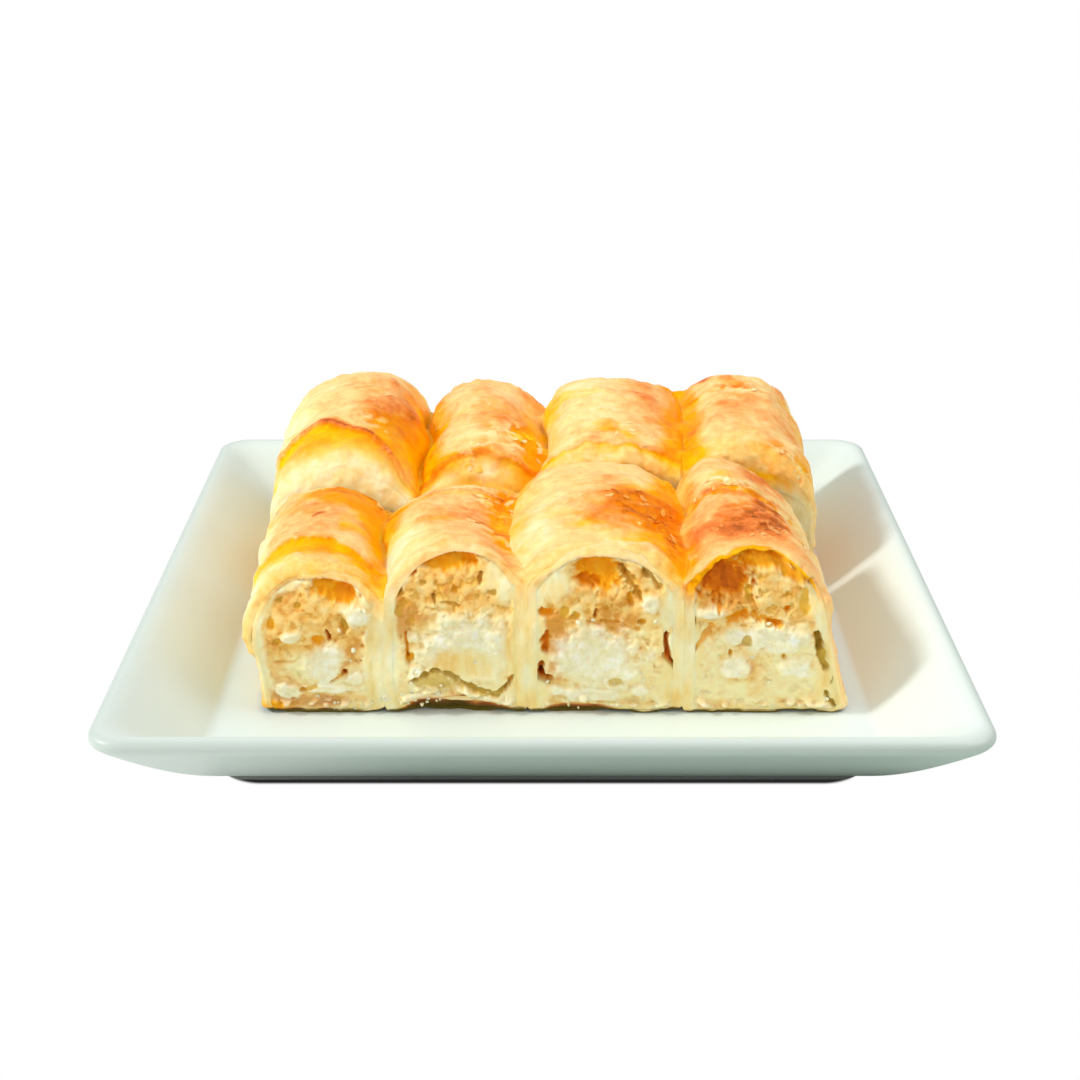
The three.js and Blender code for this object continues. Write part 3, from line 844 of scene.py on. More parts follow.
def up_crown(roll, t, h):
    """How far up the round part of a crown a height is: 0 at its spring and 1 at its top."""
    return 1 - (along(roll["crown"], t) - h) / along(roll["rise"], t)


def wrapper(roll):
    """A wrapper as a tube with a wall: rings run back along the outside, in over the back cut,
    forward along the hollow and out over the front cut. The outside is pushed out by its relief."""
    front_row = roll["name"].startswith("front")
    left_steps, right_steps = (60 if o else (34 if front_row else 16) for o in roll["open"])
    around = places_round(172, left_steps, 8, 60 if front_row else 20, 8, right_steps)
    length = roll["length"]
    first, last = 0.0006, 0.9994
    outside = spread((first, 0.04, 14), (0.04, 0.1, 13), (0.1, 0.92, 112), (0.92, last, 15))
    hollow = spread((first, 0.12, 8), (0.12, 0.85, 5), (0.85, last, 20))
    outside, hollow = (np.concatenate([[0], steps, [last, 1]]) for steps in (outside, hollow))
    hollow = 1 - hollow
    cut_front, cut_back = (
        np.concatenate([[0.01], np.linspace(0, 1, n)[1:-1], [0.99]]) for n in (13, 7)
    )
    t = np.concatenate([outside, np.ones(len(cut_back)), hollow, np.zeros(len(cut_front))])[:, None]
    share = np.concatenate([0 * outside, cut_back, 0 * hollow + 1, cut_front[::-1]])[:, None]
    x, h, p = layer(roll, t, around, share)

    seed, depth = roll["seed"], np.minimum(t, 1 - t) * length
    up = up_crown(roll, t, h)
    left, right = (along(seam, t) for seam in roll["seams"])
    gaps = [np.maximum(x - left, 0), np.maximum(right - x, 0)]
    joined = sum(np.exp(-gap / 0.8) * (not o) for gap, o in zip(gaps, roll["open"]))
    meeting = sum(bell(gap / 1.5) * (not o) for gap, o in zip(gaps, roll["open"]))
    exposed = (1 - joined * (1 - ease(0.2, 0.45, up))) * (1 - meeting) * ease(0.5, 4, h)
    toast, butter, step, bare = crust_marks(roll, p, t)
    relief, proud = crust_relief(roll, p)
    fade = np.exp(-share * 6) * exposed
    low_side = sum(np.exp(-gap / 9) * o for gap, o in zip(gaps, roll["open"]))
    low_side = low_side * (1 - ease(-0.2, 0.5, up))
    side_relief, side_toast = side_sheets(roll, p)
    toast = toast + side_toast * low_side
    relief = (relief + step) * (1 - 0.6 * low_side) + (side_relief - 0.3) * low_side
    p = p + outward(p) * (relief * fade)[..., None]

    flat = p * [1, 0, 1]
    high = ease(0.25, 0.6, up)
    gap = foot_gap(p)
    at_cut, in_front = bell(depth / 3), t < 0.5
    p[..., 1] += at_cut * in_front * lip_line(roll, p, up)
    torn_back = 0.5 + 0.7 * rough_noise(flat, 2.5, seed + 19)
    p[..., 1] -= at_cut * (t >= 0.5) * high * torn_back
    out = np.exp(-depth / 1.2) * (1 - high) * dough(p) - np.exp(-depth / 9) * tuck(p)
    p[..., 1] += np.where(in_front, -1, 1) * out
    lifted = bell(depth / 5) * bell(h / 1.6) * in_front
    lifted = lifted * np.maximum(0, 0.1 + 1.2 * rough_noise(flat, 5, seed + 21))
    p[..., 2] += lifted - SINK * bell(h)

    inner = ease(0, 0.5, share) * high
    lip = np.maximum(bell(depth / 4) * (t < 0.5) * 0.8, inner)
    lip_toast, lip_butter, under = CRUSTS[roll["name"]]["lip"]
    lip_butter = lip_butter * (1 - inner) + under * inner
    toast, butter = toast + 0.35 * proud * fade, butter - 0.4 * proud * fade
    toast = toast + (lip_toast + 0.15 * rough_noise(p, (5, 3, 5), seed + 22) - toast) * lip
    butter = butter + (lip_butter + 0.2 * rough_noise(p, (5, 3, 5), seed + 23) - butter) * lip
    foot = bell(h / 3.5) * roll["open"][0] * (x < 0) * ease(-8, 2, left + 5 - x)
    # In the gap under a cut's foot the crust is made deep brown and soaked: butter that soaks there, and
    # painted shade of the gap.
    marks = {
        "toast": toast + 1.5 * gap * (share + (depth < GAP_SOAK_AND_SHADE)),
        "butter": np.clip(np.maximum(butter, np.maximum(foot, gap)), 0, 1),
        "cut": np.maximum(ease(0, 0.1, share), (0.7 + 0.3 * joined) * np.exp(-depth / 1.5))
        * (1 - high) * (1 - 0.9 * foot) * (1 - gap) + 0.85 * bare * high,
    }
    return p, {key: np.broadcast_to(value, x.shape) for key, value in marks.items()}


def cut_dough(tree, where):
    """The colour of filo where it was cut: cream, with streaks of yellow that run up the walls."""
    upright = add(tree, "Mapping", {"Vector": where, "Scale": (1, 1, 0.35)})
    streak = add(tree, "TexNoise", {"Vector": upright, "Scale": 1 / (DOUGH_STREAK * MM), "Detail": 4.0})
    tones = [(0.3, "#f6d080"), (0.45, "#fae09c"), (0.6, "#faebb8"), (0.75, "#fbf4d0")]
    return add(tree, "ValToRGB", {"Fac": streak}, tones)


# Baked filo is dry, thin and a little glossy with butter: cream where it is barely coloured,
# then golden, then peach and red-brown where it stood proud in the oven. Where butter has
# soaked in it turns from yellow to deep orange and shines. Light glows through its sheets.
baked_filo, tree, shader = new_material(
    "baked buttered filo", IOR=1.45, Specular_IOR_Level=0.06, Subsurface_Weight=0.3,
    Subsurface_Radius=(1.0, 0.55, 0.2), Subsurface_Scale=0.0006,
)
FILO_WRINKLE = 0.9  # millimetres between the finest wrinkles
FILO_MOTTLE = 3  # millimetres across the crust's patches of colour
DOUGH_STREAK = 3.5  # millimetres from one streak in cut dough to the next
FILO_GRAIN = 0.5  # millimetres across the crust's finest grain
where = add(tree, "TexCoord", out="Object")
toast, butter, cut = (
    add(tree, "Attribute", attribute_name=name, out="Fac") for name in ("toast", "butter", "cut")
)
stretched = add(tree, "Mapping", {"Vector": where, "Scale": (0.2, 1, 0.2)})
wrinkle = add(
    tree, "TexNoise",
    {"Vector": stretched, "Scale": 1 / (FILO_WRINKLE * MM), "Detail": 3.0, "Distortion": 0.6},
)
mottle = add(
    tree, "TexNoise", {"Vector": where, "Scale": 1 / (FILO_MOTTLE * MM), "Detail": 5.0, "Roughness": 0.68}
)
grain = add(tree, "TexNoise", {"Vector": where, "Scale": 1 / (FILO_GRAIN * MM), "Detail": 2.0})
streaked = add(tree, "Math", {0: wrinkle, 1: 0.16, 2: toast}, operation="MULTIPLY_ADD")
mottled = add(tree, "Math", {0: mottle, 1: 0.6, 2: streaked}, operation="MULTIPLY_ADD")
level = add(tree, "Math", {0: mottled, 1: 0.38}, operation="SUBTRACT")
dry = add(
    tree, "ValToRGB", {"Fac": level},
    [
        (0, "#ffe9b6"), (0.25, "#ffd992"), (0.42, "#ffc880"), (0.6, "#fcac60"), (0.8, "#e8803a"),
        (1, "#b85a28"),
    ],
)
# The darkest end of the soaked colours also paints the shade in the gap under a cut's foot.
soaked = add(
    tree, "ValToRGB", {"Fac": level},
    [
        (0, "#ffd60c"), (0.25, "#ffc000"), (0.5, "#ffa400"), (0.78, "#ee8000"), (0.92, "#c46000"),
        (1, "#64541c"),
    ],
)
patchy = add(tree, "Math", {0: mottle, 1: 0.5, 2: butter}, operation="MULTIPLY_ADD")
wet = add(tree, "MapRange", {"Value": patchy, "From Min": 0.35, "From Max": 0.9})
crust = add(tree, "Mix", {0: wet, 6: dry, 7: soaked}, data_type="RGBA", out=2)
colour = add(tree, "Mix", {0: cut, 6: crust, 7: cut_dough(tree, where)}, data_type="RGBA", out=2)
rough = add(tree, "MapRange", {"Value": wet, "To Min": 0.5, "To Max": 0.3})
relief = add(tree, "Math", {0: wrinkle, 1: 0.7, 2: grain}, operation="MULTIPLY_ADD")
bump = add(tree, "Bump", {"Height": relief, "Strength": 0.45, "Distance": 0.12 * MM})
join(tree, shader, {"Base Color": colour, "Roughness": rough, "Normal": bump})

rolls = [roll_shape(row, i) for row in ROWS for i in range(4)]
for k, roll in enumerate(rolls):
    at_left, at_right = roll["open"]
    roll["beside"] = (None if at_left else rolls[k - 1], None if at_right else rolls[k + 1])
surfaces = {}
for roll in rolls:
    rings, marks = wrapper(roll)
    whole = (rings, outward(rings), marks["toast"], marks["butter"])
    surfaces[roll["name"]] = [v.reshape(marks["toast"].size, -1) for v in whole]
    piece = skin(roll["name"] + "_crust", rings, marks, baked_filo)
    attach(piece, "root")
    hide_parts(roll["name"] + "_wrapper")


# ---- the fillings -----------------------------------------------------------------------
# White curd cheese rolled up in wet filo. At a cut the soaked sheets above show as a tan crumb of soft
# lumps, the curds below as white ones, and the filo wound round them as smooth cream walls. The steam of
# baking has left caves under the crust and slits; the caves' orange is butter stain and painted glow, and
# the slits' dark is stain and painted shade. Walls are how wide the filo stands at the left and the right
# of a cut. A hollow is x, height, half width, half height, tilt in degrees, depth, and its stain: 0
# olive, 0.5 orange, 0.9 red-brown, 1 dark. Curds, folds of smooth dough and tans are x, height and half
# widths, and tans how strong. A stroke is its points, half width, depth, stain and how much of it. Tan is
# the height that the crumb turns tan at. A band is the height that a cut is soaked above, and its stain.
FACES = {
    "front_roll_1": {
        "walls": (4.2, 2.6), "tan": 15, "folds": ((-63, 31.5, 5, 2), (-41.5, 29, 2.4, 3)),
        "tans": (
            (-65, 14, 3.5, 10, 0.2), (-46, 15, 3, 5, 0.35), (-64, 4, 6, 5, 0.5), (-52, 2.6, 12, 2, 0.6),
            (-59, 25, 7, 5, 0.1),
        ),
        "hollows": (
            (-66, 1.6, 7, 2.2, 0, 0, 0.44), (-50, 30.6, 6.4, 3, -14, 1.7, 0.46),
            (-47.4, 29.3, 3, 2, -20, 1.6, 0.58), (-53.6, 18.6, 1.7, 1.4, 0, 1.2, 0.4),
            (-47.4, 22.6, 1.1, 2, 0, 1.6, 0.1), (-58.4, 27, 1, 0.8, 0, 1.2, 0.1),
            (-62.6, 28, 1.2, 0.8, 0, 1, 0.1), (-64.8, 23, 0.8, 1, 0, 1.2, 0.3),
            (-63.5, 18.6, 0.9, 0.7, 0, 1, 0.1), (-47.8, 10.3, 1.1, 1.1, 0, 1.6, 0.9),
        ),
        "curds": (
            (-52.2, 12.6, 5, 5), (-44.4, 24.9, 3.6, 2.6), (-40.8, 18.9, 2.2, 2.6), (-60, 20, 2, 1.4),
            (-44.7, 8.8, 2.6, 1.8), (-60.7, 5.8, 4, 2), (-52, 6.4, 9, 1.2),
        ),
        "strokes": (
            (((-51.6, 21.4), (-50.8, 18.6)), 0.5, 2.2, 0.8, 0.8),
            (((-51, 8), (-48, 9.6)), 0.4, 1, 0.3, 0.6), (((-58.3, 6), (-54, 6.9)), 0.5, 1, 0.2, 0.6),
            (((-43.8, 13.6), (-43.2, 13.2)), 0.4, 1.2, 0.6, 0.7),
        ),
    },
    "front_roll_2": {
        "walls": (3, 4.4), "tan": 24, "folds": ((-9, 33.5, 5, 4.5), (-19, 12.5, 9, 4)),
        "tans": ((-33, 24, 3, 6, 0.6), (-22, 31, 8, 4, 0.15)),
        "hollows": (
            (-22, 37.6, 8.6, 3, 0, 1.9, 0.47), (-17, 36.8, 2.4, 1.4, 0, 2, 0.58),
            (-35, 30.8, 1.8, 1.9, 0, 1.6, 0.05), (-34, 26.5, 1.4, 1.8, 0, 0.8, 0.05),
            (-32, 14.2, 1.1, 1.4, 0, 1.8, 0.35), (-30.9, 35, 1.3, 1.2, 0, 1.4, 0.82),
            (-20.9, 31.1, 0.9, 0.8, 0, 1.5, 0.3), (-28.6, 32.5, 0.8, 0.6, 0, 1.2, 0.1),
            (-11.9, 30.5, 0.9, 0.7, 0, 1, 0.1), (-25.5, 8.2, 6.2, 2.3, -14, 0.9, 0),
        ),
        "curds": ((-19, 16, 12, 9.5), (-27, 4, 7, 1.2), (-10, 3.5, 6, 1.5), (-30, 10, 2, 3)),
        "strokes": (
            (((-14.4, 35), (-14.8, 32)), 0.6, 2.2, 0.15, 0.7),
            (((-26, 30.2), (-25.4, 27.8)), 0.5, 1.6, 0.1, 0.6),
            (((-32.6, 20.6), (-32.2, 14)), 0.5, 1.3, 0.45, 0.85),
            (((-24, 28.4), (-20, 27.6)), 0.4, 1, 0.15, 0.6),
            (
                ((-31, 8.6), (-25.9, 11), (-22, 9.6), (-16, 5.9), (-10.6, 4.3), (-8.4, 7.4)), 0.8, 1.8, 0,
                0.9,
            ),
            (((-9, 5.6), (-7, 9.6)), 0.6, 2.2, 0.25, 0.8),
        ),
    },
    "front_roll_3": {
        "walls": (4, 4.4), "tan": 19, "folds": ((3, 33, 5, 4.5), (30.5, 29, 3, 8)),
        "tans": ((3, 19, 3, 7, 0.7), (3, 10, 3, 4, 0.4), (18.5, 24.5, 5, 4, 0.4)),
        "hollows": (
            (13.6, 35.4, 6.4, 4.8, -15, 2.4, 0.5), (11.2, 33, 2.6, 1.7, 0, 3, 0.62),
            (20.9, 29.2, 1.1, 1.4, 0, 2.2, 0.3), (0.9, 26, 1.6, 1, -20, 2, 0.5),
            (5.4, 25.6, 1, 1.6, 0, 1, 0.2), (23.6, 23.9, 0.8, 0.6, 0, 1.5, 0.2),
            (17.6, 8.4, 1.7, 1, 0, 0.5, 0), (8, 25, 1, 0.8, 0, 1.2, 0.2),
            (0.6, 8.9, 2.2, 1.1, -20, 4, 0.85),
        ),
        "curds": (
            (13.5, 13.5, 11, 8.5), (25.9, 28.7, 2.2, 2.2), (-0.5, 6.6, 1.6, 1.3), (3.5, 6, 2, 1.4),
            (16.4, 9.3, 1.8, 1.6), (23.4, 6.1, 2.2, 1.8), (12, 5, 8, 2),
        ),
        "strokes": (
            (((18.6, 36.6), (21, 33.4), (23.6, 29)), 1.1, 2.6, 0.15, 0.8),
            (((24.4, 36.6), (28.2, 32)), 1, 2, 0.05, 0.7),
            (((29.4, 21.1), (30, 15.5), (31.5, 12.3)), 0.8, 3.5, 0.8, 0.95),
            (((1.2, 21.8), (0.8, 16.6)), 1.1, 2.4, 0.66, 0.9),
            (((0, 13.6), (-0.4, 9.6)), 1.2, 3.6, 0.75, 0.95),
            (((12.9, 26.8), (12.4, 24.8)), 0.5, 1.8, 0.4, 0.7),
            (((14, 24), (18.5, 23.6)), 0.4, 0.8, 0.3, 0.5),
        ),
    },
    "front_roll_4": {
        "walls": (2.6, 2.8), "tan": 22, "tans": ((50, 11.5, 3.2, 4, 0.45), (44, 29, 5, 3, 0.2)),
        "hollows": (
            (42, 34.4, 8, 6.4, -22, 4, 0.74), (53.5, 38.4, 12, 2.8, 0, 2.2, 0.42),
            (60.4, 34.6, 4, 1.7, -14, 2, 0.3), (62.4, 27.6, 1.4, 3, 0, 0.8, 0.2),
            (48.9, 30, 1.1, 2.2, 0, 2, 0.12), (58.3, 26.6, 0.7, 1.1, 0, 2, 0.5),
            (55.4, 23.4, 2, 0.9, 0, 1.5, 0.45), (46.6, 25, 3, 1.2, 15, 1.2, 0.38),
            (35.9, 24.1, 0.8, 1.3, 0, 2, 0.1), (48.9, 18.2, 1, 1.5, 0, 1, 0),
            (57.9, 14.6, 0.6, 0.9, 0, 1.2, 0.3), (45.1, 15.2, 0.6, 0.9, 0, 1.4, 0.3),
            (66.2, 18.4, 1, 3.4, 14, 2.6, 0.08),
        ),
        "curds": ((56, 19.5, 9, 4), (61, 12, 4, 3), (46, 12, 4, 3), (40, 26, 4, 1.5), (46, 20, 3, 2.5)),
        "strokes": (
            (((44.6, 23.6), (48, 25.2), (53, 24.4), (57, 22.8)), 1.1, 1.0, 0.42, 0.85),
            (((40.4, 23), (36.3, 16.5)), 1.0, 1, 0.4, 0.7),
            (((65.4, 21), (66.6, 16.5), (68, 11.4)), 1.0, 1.7, 0, 1),
            (((68.4, 5.4), (69.4, 3.2), (70.8, 1.6)), 1.1, 2, 0, 1),
            (((71.4, 12.6), (69.4, 7.4)), 0.3, 0.6, 0, 0.6),
            (((42.4, 29.6), (42, 26)), 0.6, 1.4, 0.5, 0.7),
        ),
    },
    "back_roll_1": {"walls": (12, 12), "tan": 60},
    "back_roll_2": {
        "walls": (12, 12), "tan": 60, "curds": ((-20, 35, 5, 4), (-10, 34, 4, 3)), "band": (34, 0.4),
    },
    "back_roll_3": {"walls": (90, 0), "tan": 20, "band": (30, 0.42)},
    "back_roll_4": {"walls": (90, 0), "tan": 20, "band": (28, 0.42)},
}
# The cuts that face away: x is from the roll's middle, and every other roll has it mirrored.
FAR_CUT = {
    "walls": (3.6, 3), "tan": 22, "folds": ((9, 32, 4, 4),), "tans": ((-8, 16, 4, 7, 0.3),),
    "hollows": (
        (-2, 36, 7, 3, -8, 2, 0.45), (-10, 28, 1.4, 1.8, 0, 1.4, 0.1), (4, 28, 1, 1.4, 0, 1.6, 0.3),
        (-3, 24, 1.4, 0.9, 0, 1.2, 0.4), (8, 20, 0.9, 1.2, 0, 1.2, 0.2), (-7.5, 8, 1.2, 1, 0, 1.5, 0.5),
        (0, 19.5, 0.8, 0.8, 0, 1.2, 0.2),
    ),
    "curds": ((1, 12, 9, 7), (9, 25, 3, 2.4), (-8, 20, 2.6, 2), (-2, 4, 10, 1.6)),
    "strokes": (
        (((-12.5, 20), (-12.2, 14.5)), 0.6, 1.6, 0.5, 0.8), (((2, 31), (5, 29.5)), 0.6, 1.6, 0.2, 0.6),
        (((-6, 5.5), (4, 6.4)), 0.5, 1, 0.1, 0.6),
    ),
}
# A cut's small forms by their sizes in x, y and z. A cut is flat, so that y hardly matters.
LUMP, KNOB, GRAIN, PORE = (3.6, 9, 3), (2.1, 9, 1.5), (0.9, 9, 0.8), (4.5, 9, 2.8)
SHEET = (8, 9, 2)  # and the size of the ends of filo sheets that show in it
FACE_MARKS = ("curd", "wall", "stain_and_shade", "tint", "tan")
FILLING_MIDDLE = (0.88, 0.12)  # the shares of a roll's length between which its filling is plain
UNSEEN = 0.4  # every mark of that plain middle
CRUMB_RECESS = 0.6  # how far the crumb stands back from the wrapper's cut edge


def cells(p, size, seed):
    """The distance to the nearest of points scattered one to a cell: 0 at a point, about 1 between
    them (Worley)."""
    q = p / np.asarray(size, float)
    i = np.floor(q).astype(np.int64)
    nearest = np.full(q.shape[:-1], 9.0)
    for corner in range(27):
        at = i + [corner % 3 - 1, corner // 3 % 3 - 1, corner // 9 - 1]
        jitter = [scatter(at[..., 0], at[..., 1], at[..., 2], seed + k) for k in range(3)]
        nearest = np.minimum(nearest, ((q - at - np.stack(jitter, -1)) ** 2).sum(-1))
    return np.sqrt(nearest)


def oval(x, h, feature):
    """The distance from the middle of a tilted oval, in its half widths."""
    across, up, half_width, half_height, tilt = feature[:5]
    c, s = math.cos(math.radians(tilt)), math.sin(math.radians(tilt))
    dx, dh = x - across, h - up
    return np.hypot((dx * c + dh * s) / half_width, (dh * c - dx * s) / half_height)


def blots(x, h, spots, ragged):
    """How much a point is in any of some upright ovals with ragged rims."""
    inside = [1 - ease(0.6, 1.3, oval(x, h, (*spot, 0)) + ragged) for spot in spots]
    return np.maximum.reduce([0 * x, *inside])


def from_line(x, h, line):
    """The distance from a line through points: for each stretch, to the nearest place on it."""
    nearest = 0 * x + 99
    for (x0, h0), (x1, h1) in zip(line[:-1], line[1:]):
        dx, dh = x1 - x0, h1 - h0
        share = np.clip(((x - x0) * dx + (h - h0) * dh) / (dx * dx + dh * dh), 0, 1)
        nearest = np.minimum(nearest, np.hypot(x - x0 - share * dx, h - h0 - share * dh))
    return nearest


def dents(face, x, h, ragged, torn, streaks):
    """A face's hollows and strokes: how much a point is inside each, how far it flattens the crumb, its
    depth, its stain and how much of it, which is also painted shade that grows with a hollow's depth. A
    stroke narrows towards its ends."""
    for hollow in face.get("hollows", ()):
        depth, brown = hollow[5:]
        rough_rim = (0.35 + 0.3 / math.sqrt(hollow[2] * hollow[3])) * (ragged + 0.7 * torn)
        inside = 1 - ease(0.5, 1.3, oval(x, h, hollow) + rough_rim)
        # Deeper hollows are stained more: painted shade on top of the butter stain.
        stained_and_shaded = ease(0.25, 0.85, inside) * min(1, 0.5 + 0.25 * depth + brown)
        yield inside, 0.5, depth, brown + 0.14 * streaks, stained_and_shaded
    for line, half, depth, brown, much in face.get("strokes", ()):
        ends = np.array([line[0], line[-1]])
        beyond = np.hypot(x - ends[:, 0].mean(), h - ends[:, 1].mean())
        beyond = beyond / (np.hypot(*(ends[1] - ends[0])) / 2)
        width = half * (0.3 + 0.7 * np.sqrt(np.clip(1.3 - beyond**2, 0, 1))) * (1 + 0.8 * ragged)
        inside = 1 - ease(0.3, 1.3, from_line(x, h, line) / np.maximum(width, 0.1) + 0.6 * torn)
        yield inside, 0, depth, brown, much * ease(0.2, 0.8, inside)


def cut_face(roll, p, end, edge, up):
    """The relief of a filling's cut face, out of the food, and where it is curd, wall and stained with
    painted shade, how brown the crumb is and how brown the stain. Edge is the distance from the face's
    rim and up the height up the crown."""
    seed = roll["seed"] + 50 + 9 * end
    face = FAR_CUT if end else FACES[roll["name"]]
    p = p * [1, 0, 1]
    x, h = p[..., 0], p[..., 2] - STAND
    ragged, torn = rough_noise(p, 2.4, seed), rough_noise(p, 1.1, seed + 20)
    gaps = (x - along(roll["seams"][0], float(end)), along(roll["seams"][1], float(end)) - x)
    if end:
        middle = (along(roll["seams"][0], 1.0) + along(roll["seams"][1], 1.0)) / 2
        x = (x - middle) * (-1) ** (roll["seed"] // 10)
    thinner = 1.3 - 0.6 * ease(6, 30, h)
    widths = [wide * thinner for wide in face["walls"]]
    side = [1 - ease(w - 1.3, w + 1.5, gap + 1.1 * ragged) for w, gap in zip(widths, gaps)]
    thick = 2.4 * np.maximum(0, noise(p, 9, seed + 30))
    rim = 1 - ease(-0.3, 1.4, edge - thick + 0.9 * ragged)
    wall = np.maximum(np.maximum(*side), np.maximum(1 - ease(0.6, 2.2, h + 0.9 * ragged), rim))
    wall = np.maximum(wall, blots(x, h, face.get("folds", ()), 0.3 * ragged))
    line = face["tan"]
    tan = ease(line - 6, line + 6, h + 6 * rough_noise(p, 5, seed + 1))
    browned = 0 * x
    for spot in face.get("tans", ()):
        browned = browned + spot[4] * bell(oval(x, h, (*spot[:4], 0)))
    tan = np.clip(tan + browned, 0, 1)
    curd = 1 - ease(line - 3, line + 3, h + 4 * rough_noise(p, 6, seed + 10))
    if "curds" in face:
        curd = np.maximum(0.15 * curd, blots(x, h, face["curds"], 0.35 * ragged))
    warped = p + 0.8 * np.stack([rough_noise(p, 2, seed + k) for k in (21, 22, 23)], -1)
    lump = 1 - cells(warped, LUMP, seed + 2) ** 2
    knob = 1 - cells(warped, KNOB, seed + 3) ** 2
    grain = 1 - cells(p, GRAIN, seed + 4) ** 2
    pore = 1 - ease(0.08, 0.4, cells(warped, PORE, seed + 6) + 0.3 * torn)
    sheet = (1 - np.abs(noise(warped, SHEET, seed + 5))) ** 8
    sheet = sheet * ease(-0.2, 0.4, noise(p, 5, seed + 8))
    crumb_relief = 0.45 * rough_noise(p, 3.5, seed + 7) + 0.2 * knob + 0.08 * grain + 0.1 * torn
    crumb_relief = crumb_relief - 0.7 * pore - 0.4 * sheet
    curd_relief = 0.6 + 0.8 * lump + 0.25 * knob + 0.1 * grain
    crease = 1 - ease(-0.2, 0.5, knob + 0.3 * torn)
    pore = pore * (0.15 + 0.85 * tan)
    fringe = bell((h - foot_reach(p) - 1.3) / 1.3)
    fringe = fringe * ease(-0.1, 0.3, rough_noise(p, (2, 9, 1.6), seed + 32))
    curd = np.maximum(curd, 0.8 * fringe)
    wall = wall * (1 - 0.8 * fringe)
    relief = crumb_relief * (1 - curd) + curd_relief * curd - CRUMB_RECESS + 1.3 * fringe
    # Pores, creases between the knobs and the gaps between sheets are stained darker: butter stain, and
    # painted shade in them.
    stain_and_shade = (0.6 * pore + 0.15 * crease * tan + 0.4 * sheet) * (1 - curd)
    tint = 0.06 + 0.16 * tan
    streaks = rough_noise(warped, (1.6, 9, 4), seed + 31)
    wall_relief = (1 - ease(0.25, 0.6, up)) * dough(p) - 0.03
    relief = relief * (1 - wall) * ease(0, 2, edge) + wall_relief * wall
    stain_and_shade = stain_and_shade * (1 - wall)
    for inside, flat, depth, brown, stained_and_shaded in dents(face, x, h, ragged, torn, streaks):
        relief = relief * (1 - flat * inside) - depth * inside
        tint = tint * (1 - inside) + brown * inside
        stain_and_shade = np.maximum(stain_and_shade, stained_and_shaded)
        curd, wall = curd * (1 - inside), wall * (1 - inside)
    if "band" in face:
        height, brown = face["band"]
        above = ease(height - 3, height + 3, h + 2 * ragged)
        stain_and_shade, tint = np.maximum(stain_and_shade, 0.7 * above), tint * (1 - above) + brown * above
    low, gap = bell(h / 3), foot_gap(p)
    # The crumb is browner in the creases and paler on the knobs, as painted shade and painted highlight,
    # and browner near the foot.
    painted_crease_shade = 0.4 * crease * (0.3 + 0.7 * tan)
    tan = 0.15 + 0.35 * tan + 0.35 * low + painted_crease_shade - 0.2 * knob + 0.3 * ragged + browned
    tan = np.clip(tan, 0, 1)
    # The gap under the foot is stained darkest: butter, and painted shade under the food.
    stain_and_shade, tint = np.maximum(stain_and_shade, gap), tint * (1 - gap) + gap
    return relief - tuck(p), dict(zip(FACE_MARKS, (curd, wall, stain_and_shade, tint, tan)))


def filling(roll):
    """A filling as rings from the middle of its back cut, along the roll, to the middle of its
    front cut. A cut face's rings are the rim drawn in towards its middle, pushed in and out by the
    face's relief."""
    front_row = roll["name"].startswith("front")
    around = places_round(*(int(n * (1 if front_row else 0.75)) for n in (150, 54, 7, 54, 7, 54)))
    rings, marks = [], {key: [] for key in FACE_MARKS}
    front_rings, back_rings = (76, 34) if front_row else (34, 60)
    for end, steps in ((1, back_rings), (None, 7), (0, front_rings)):
        if end is None:
            t = np.linspace(*FILLING_MIDDLE, steps)[:, None]
            x, h, p = layer(roll, t, around, FILLED)
            rings.append(p)
            for values in marks.values():
                values.append(UNSEEN + 0 * x)
            continue
        share = np.append(np.linspace(0.01, 0.997, steps), 1)[:: 1 if end else -1][:, None]
        at_end = np.full((1, 1), end)
        rim_x, rim_h = outline(roll, at_end, around, *insets(roll, at_end, FILLED))
        mid_x, mid_h = (rim_x.min() + rim_x.max()) / 2, (rim_h.min() + rim_h.max()) / 2
        x, h = mid_x + share * (rim_x - mid_x), mid_h + share * (rim_h - mid_h)
        p = settle(np.stack([x, cut_y(roll, end, at_end, x, h), h + STAND], -1))
        edge = (1 - share) * np.hypot(rim_x - mid_x, rim_h - mid_h)
        up = up_crown(roll, at_end, h)
        relief, face = cut_face(roll, p, end, edge, up)
        p[..., 1] += (2 * end - 1) * relief
        if not end:
            p[..., 1] += bell(edge / 2.5) * lip_line(roll, p, up)
        rings.append(p)
        for key, values in marks.items():
            values.append(face[key])
    rings = np.concatenate(rings)
    poles = [rings[0].mean(0), rings[-1].mean(0)]
    return rings, {key: np.concatenate(values) for key, values in marks.items()}, poles


# Curd cheese is a moist white solid that light sinks into. The filo rolled up in it is tan and cream, and
# the pores and caves in it are stained by butter, olive to red-brown. That stain is also painted shade in
# its pores, creases, slits and deep hollows, and in the gap under its foot.
curd_filling, tree, shader = new_material(
    "baked curd cheese and soaked filo", IOR=1.4, Specular_IOR_Level=0.16, Subsurface_Weight=0.5,
    Subsurface_Radius=(1.0, 0.75, 0.35), Subsurface_Scale=0.001,
)
CURD_GRAIN = 0.6  # millimetres across the finest curds
CRUMB_MOTTLE = 2.5  # millimetres across the crumb's patches of colour
where = add(tree, "TexCoord", out="Object")
curd, wall, stain_and_shade, tint, tan = (
    add(tree, "Attribute", attribute_name=name, out="Fac") for name in FACE_MARKS
)
mottle = add(
    tree, "TexNoise", {"Vector": where, "Scale": 1 / (CRUMB_MOTTLE * MM), "Detail": 4.0, "Roughness": 0.6}
)
grain = add(tree, "TexNoise", {"Vector": where, "Scale": 1 / (CURD_GRAIN * MM), "Detail": 2.0})
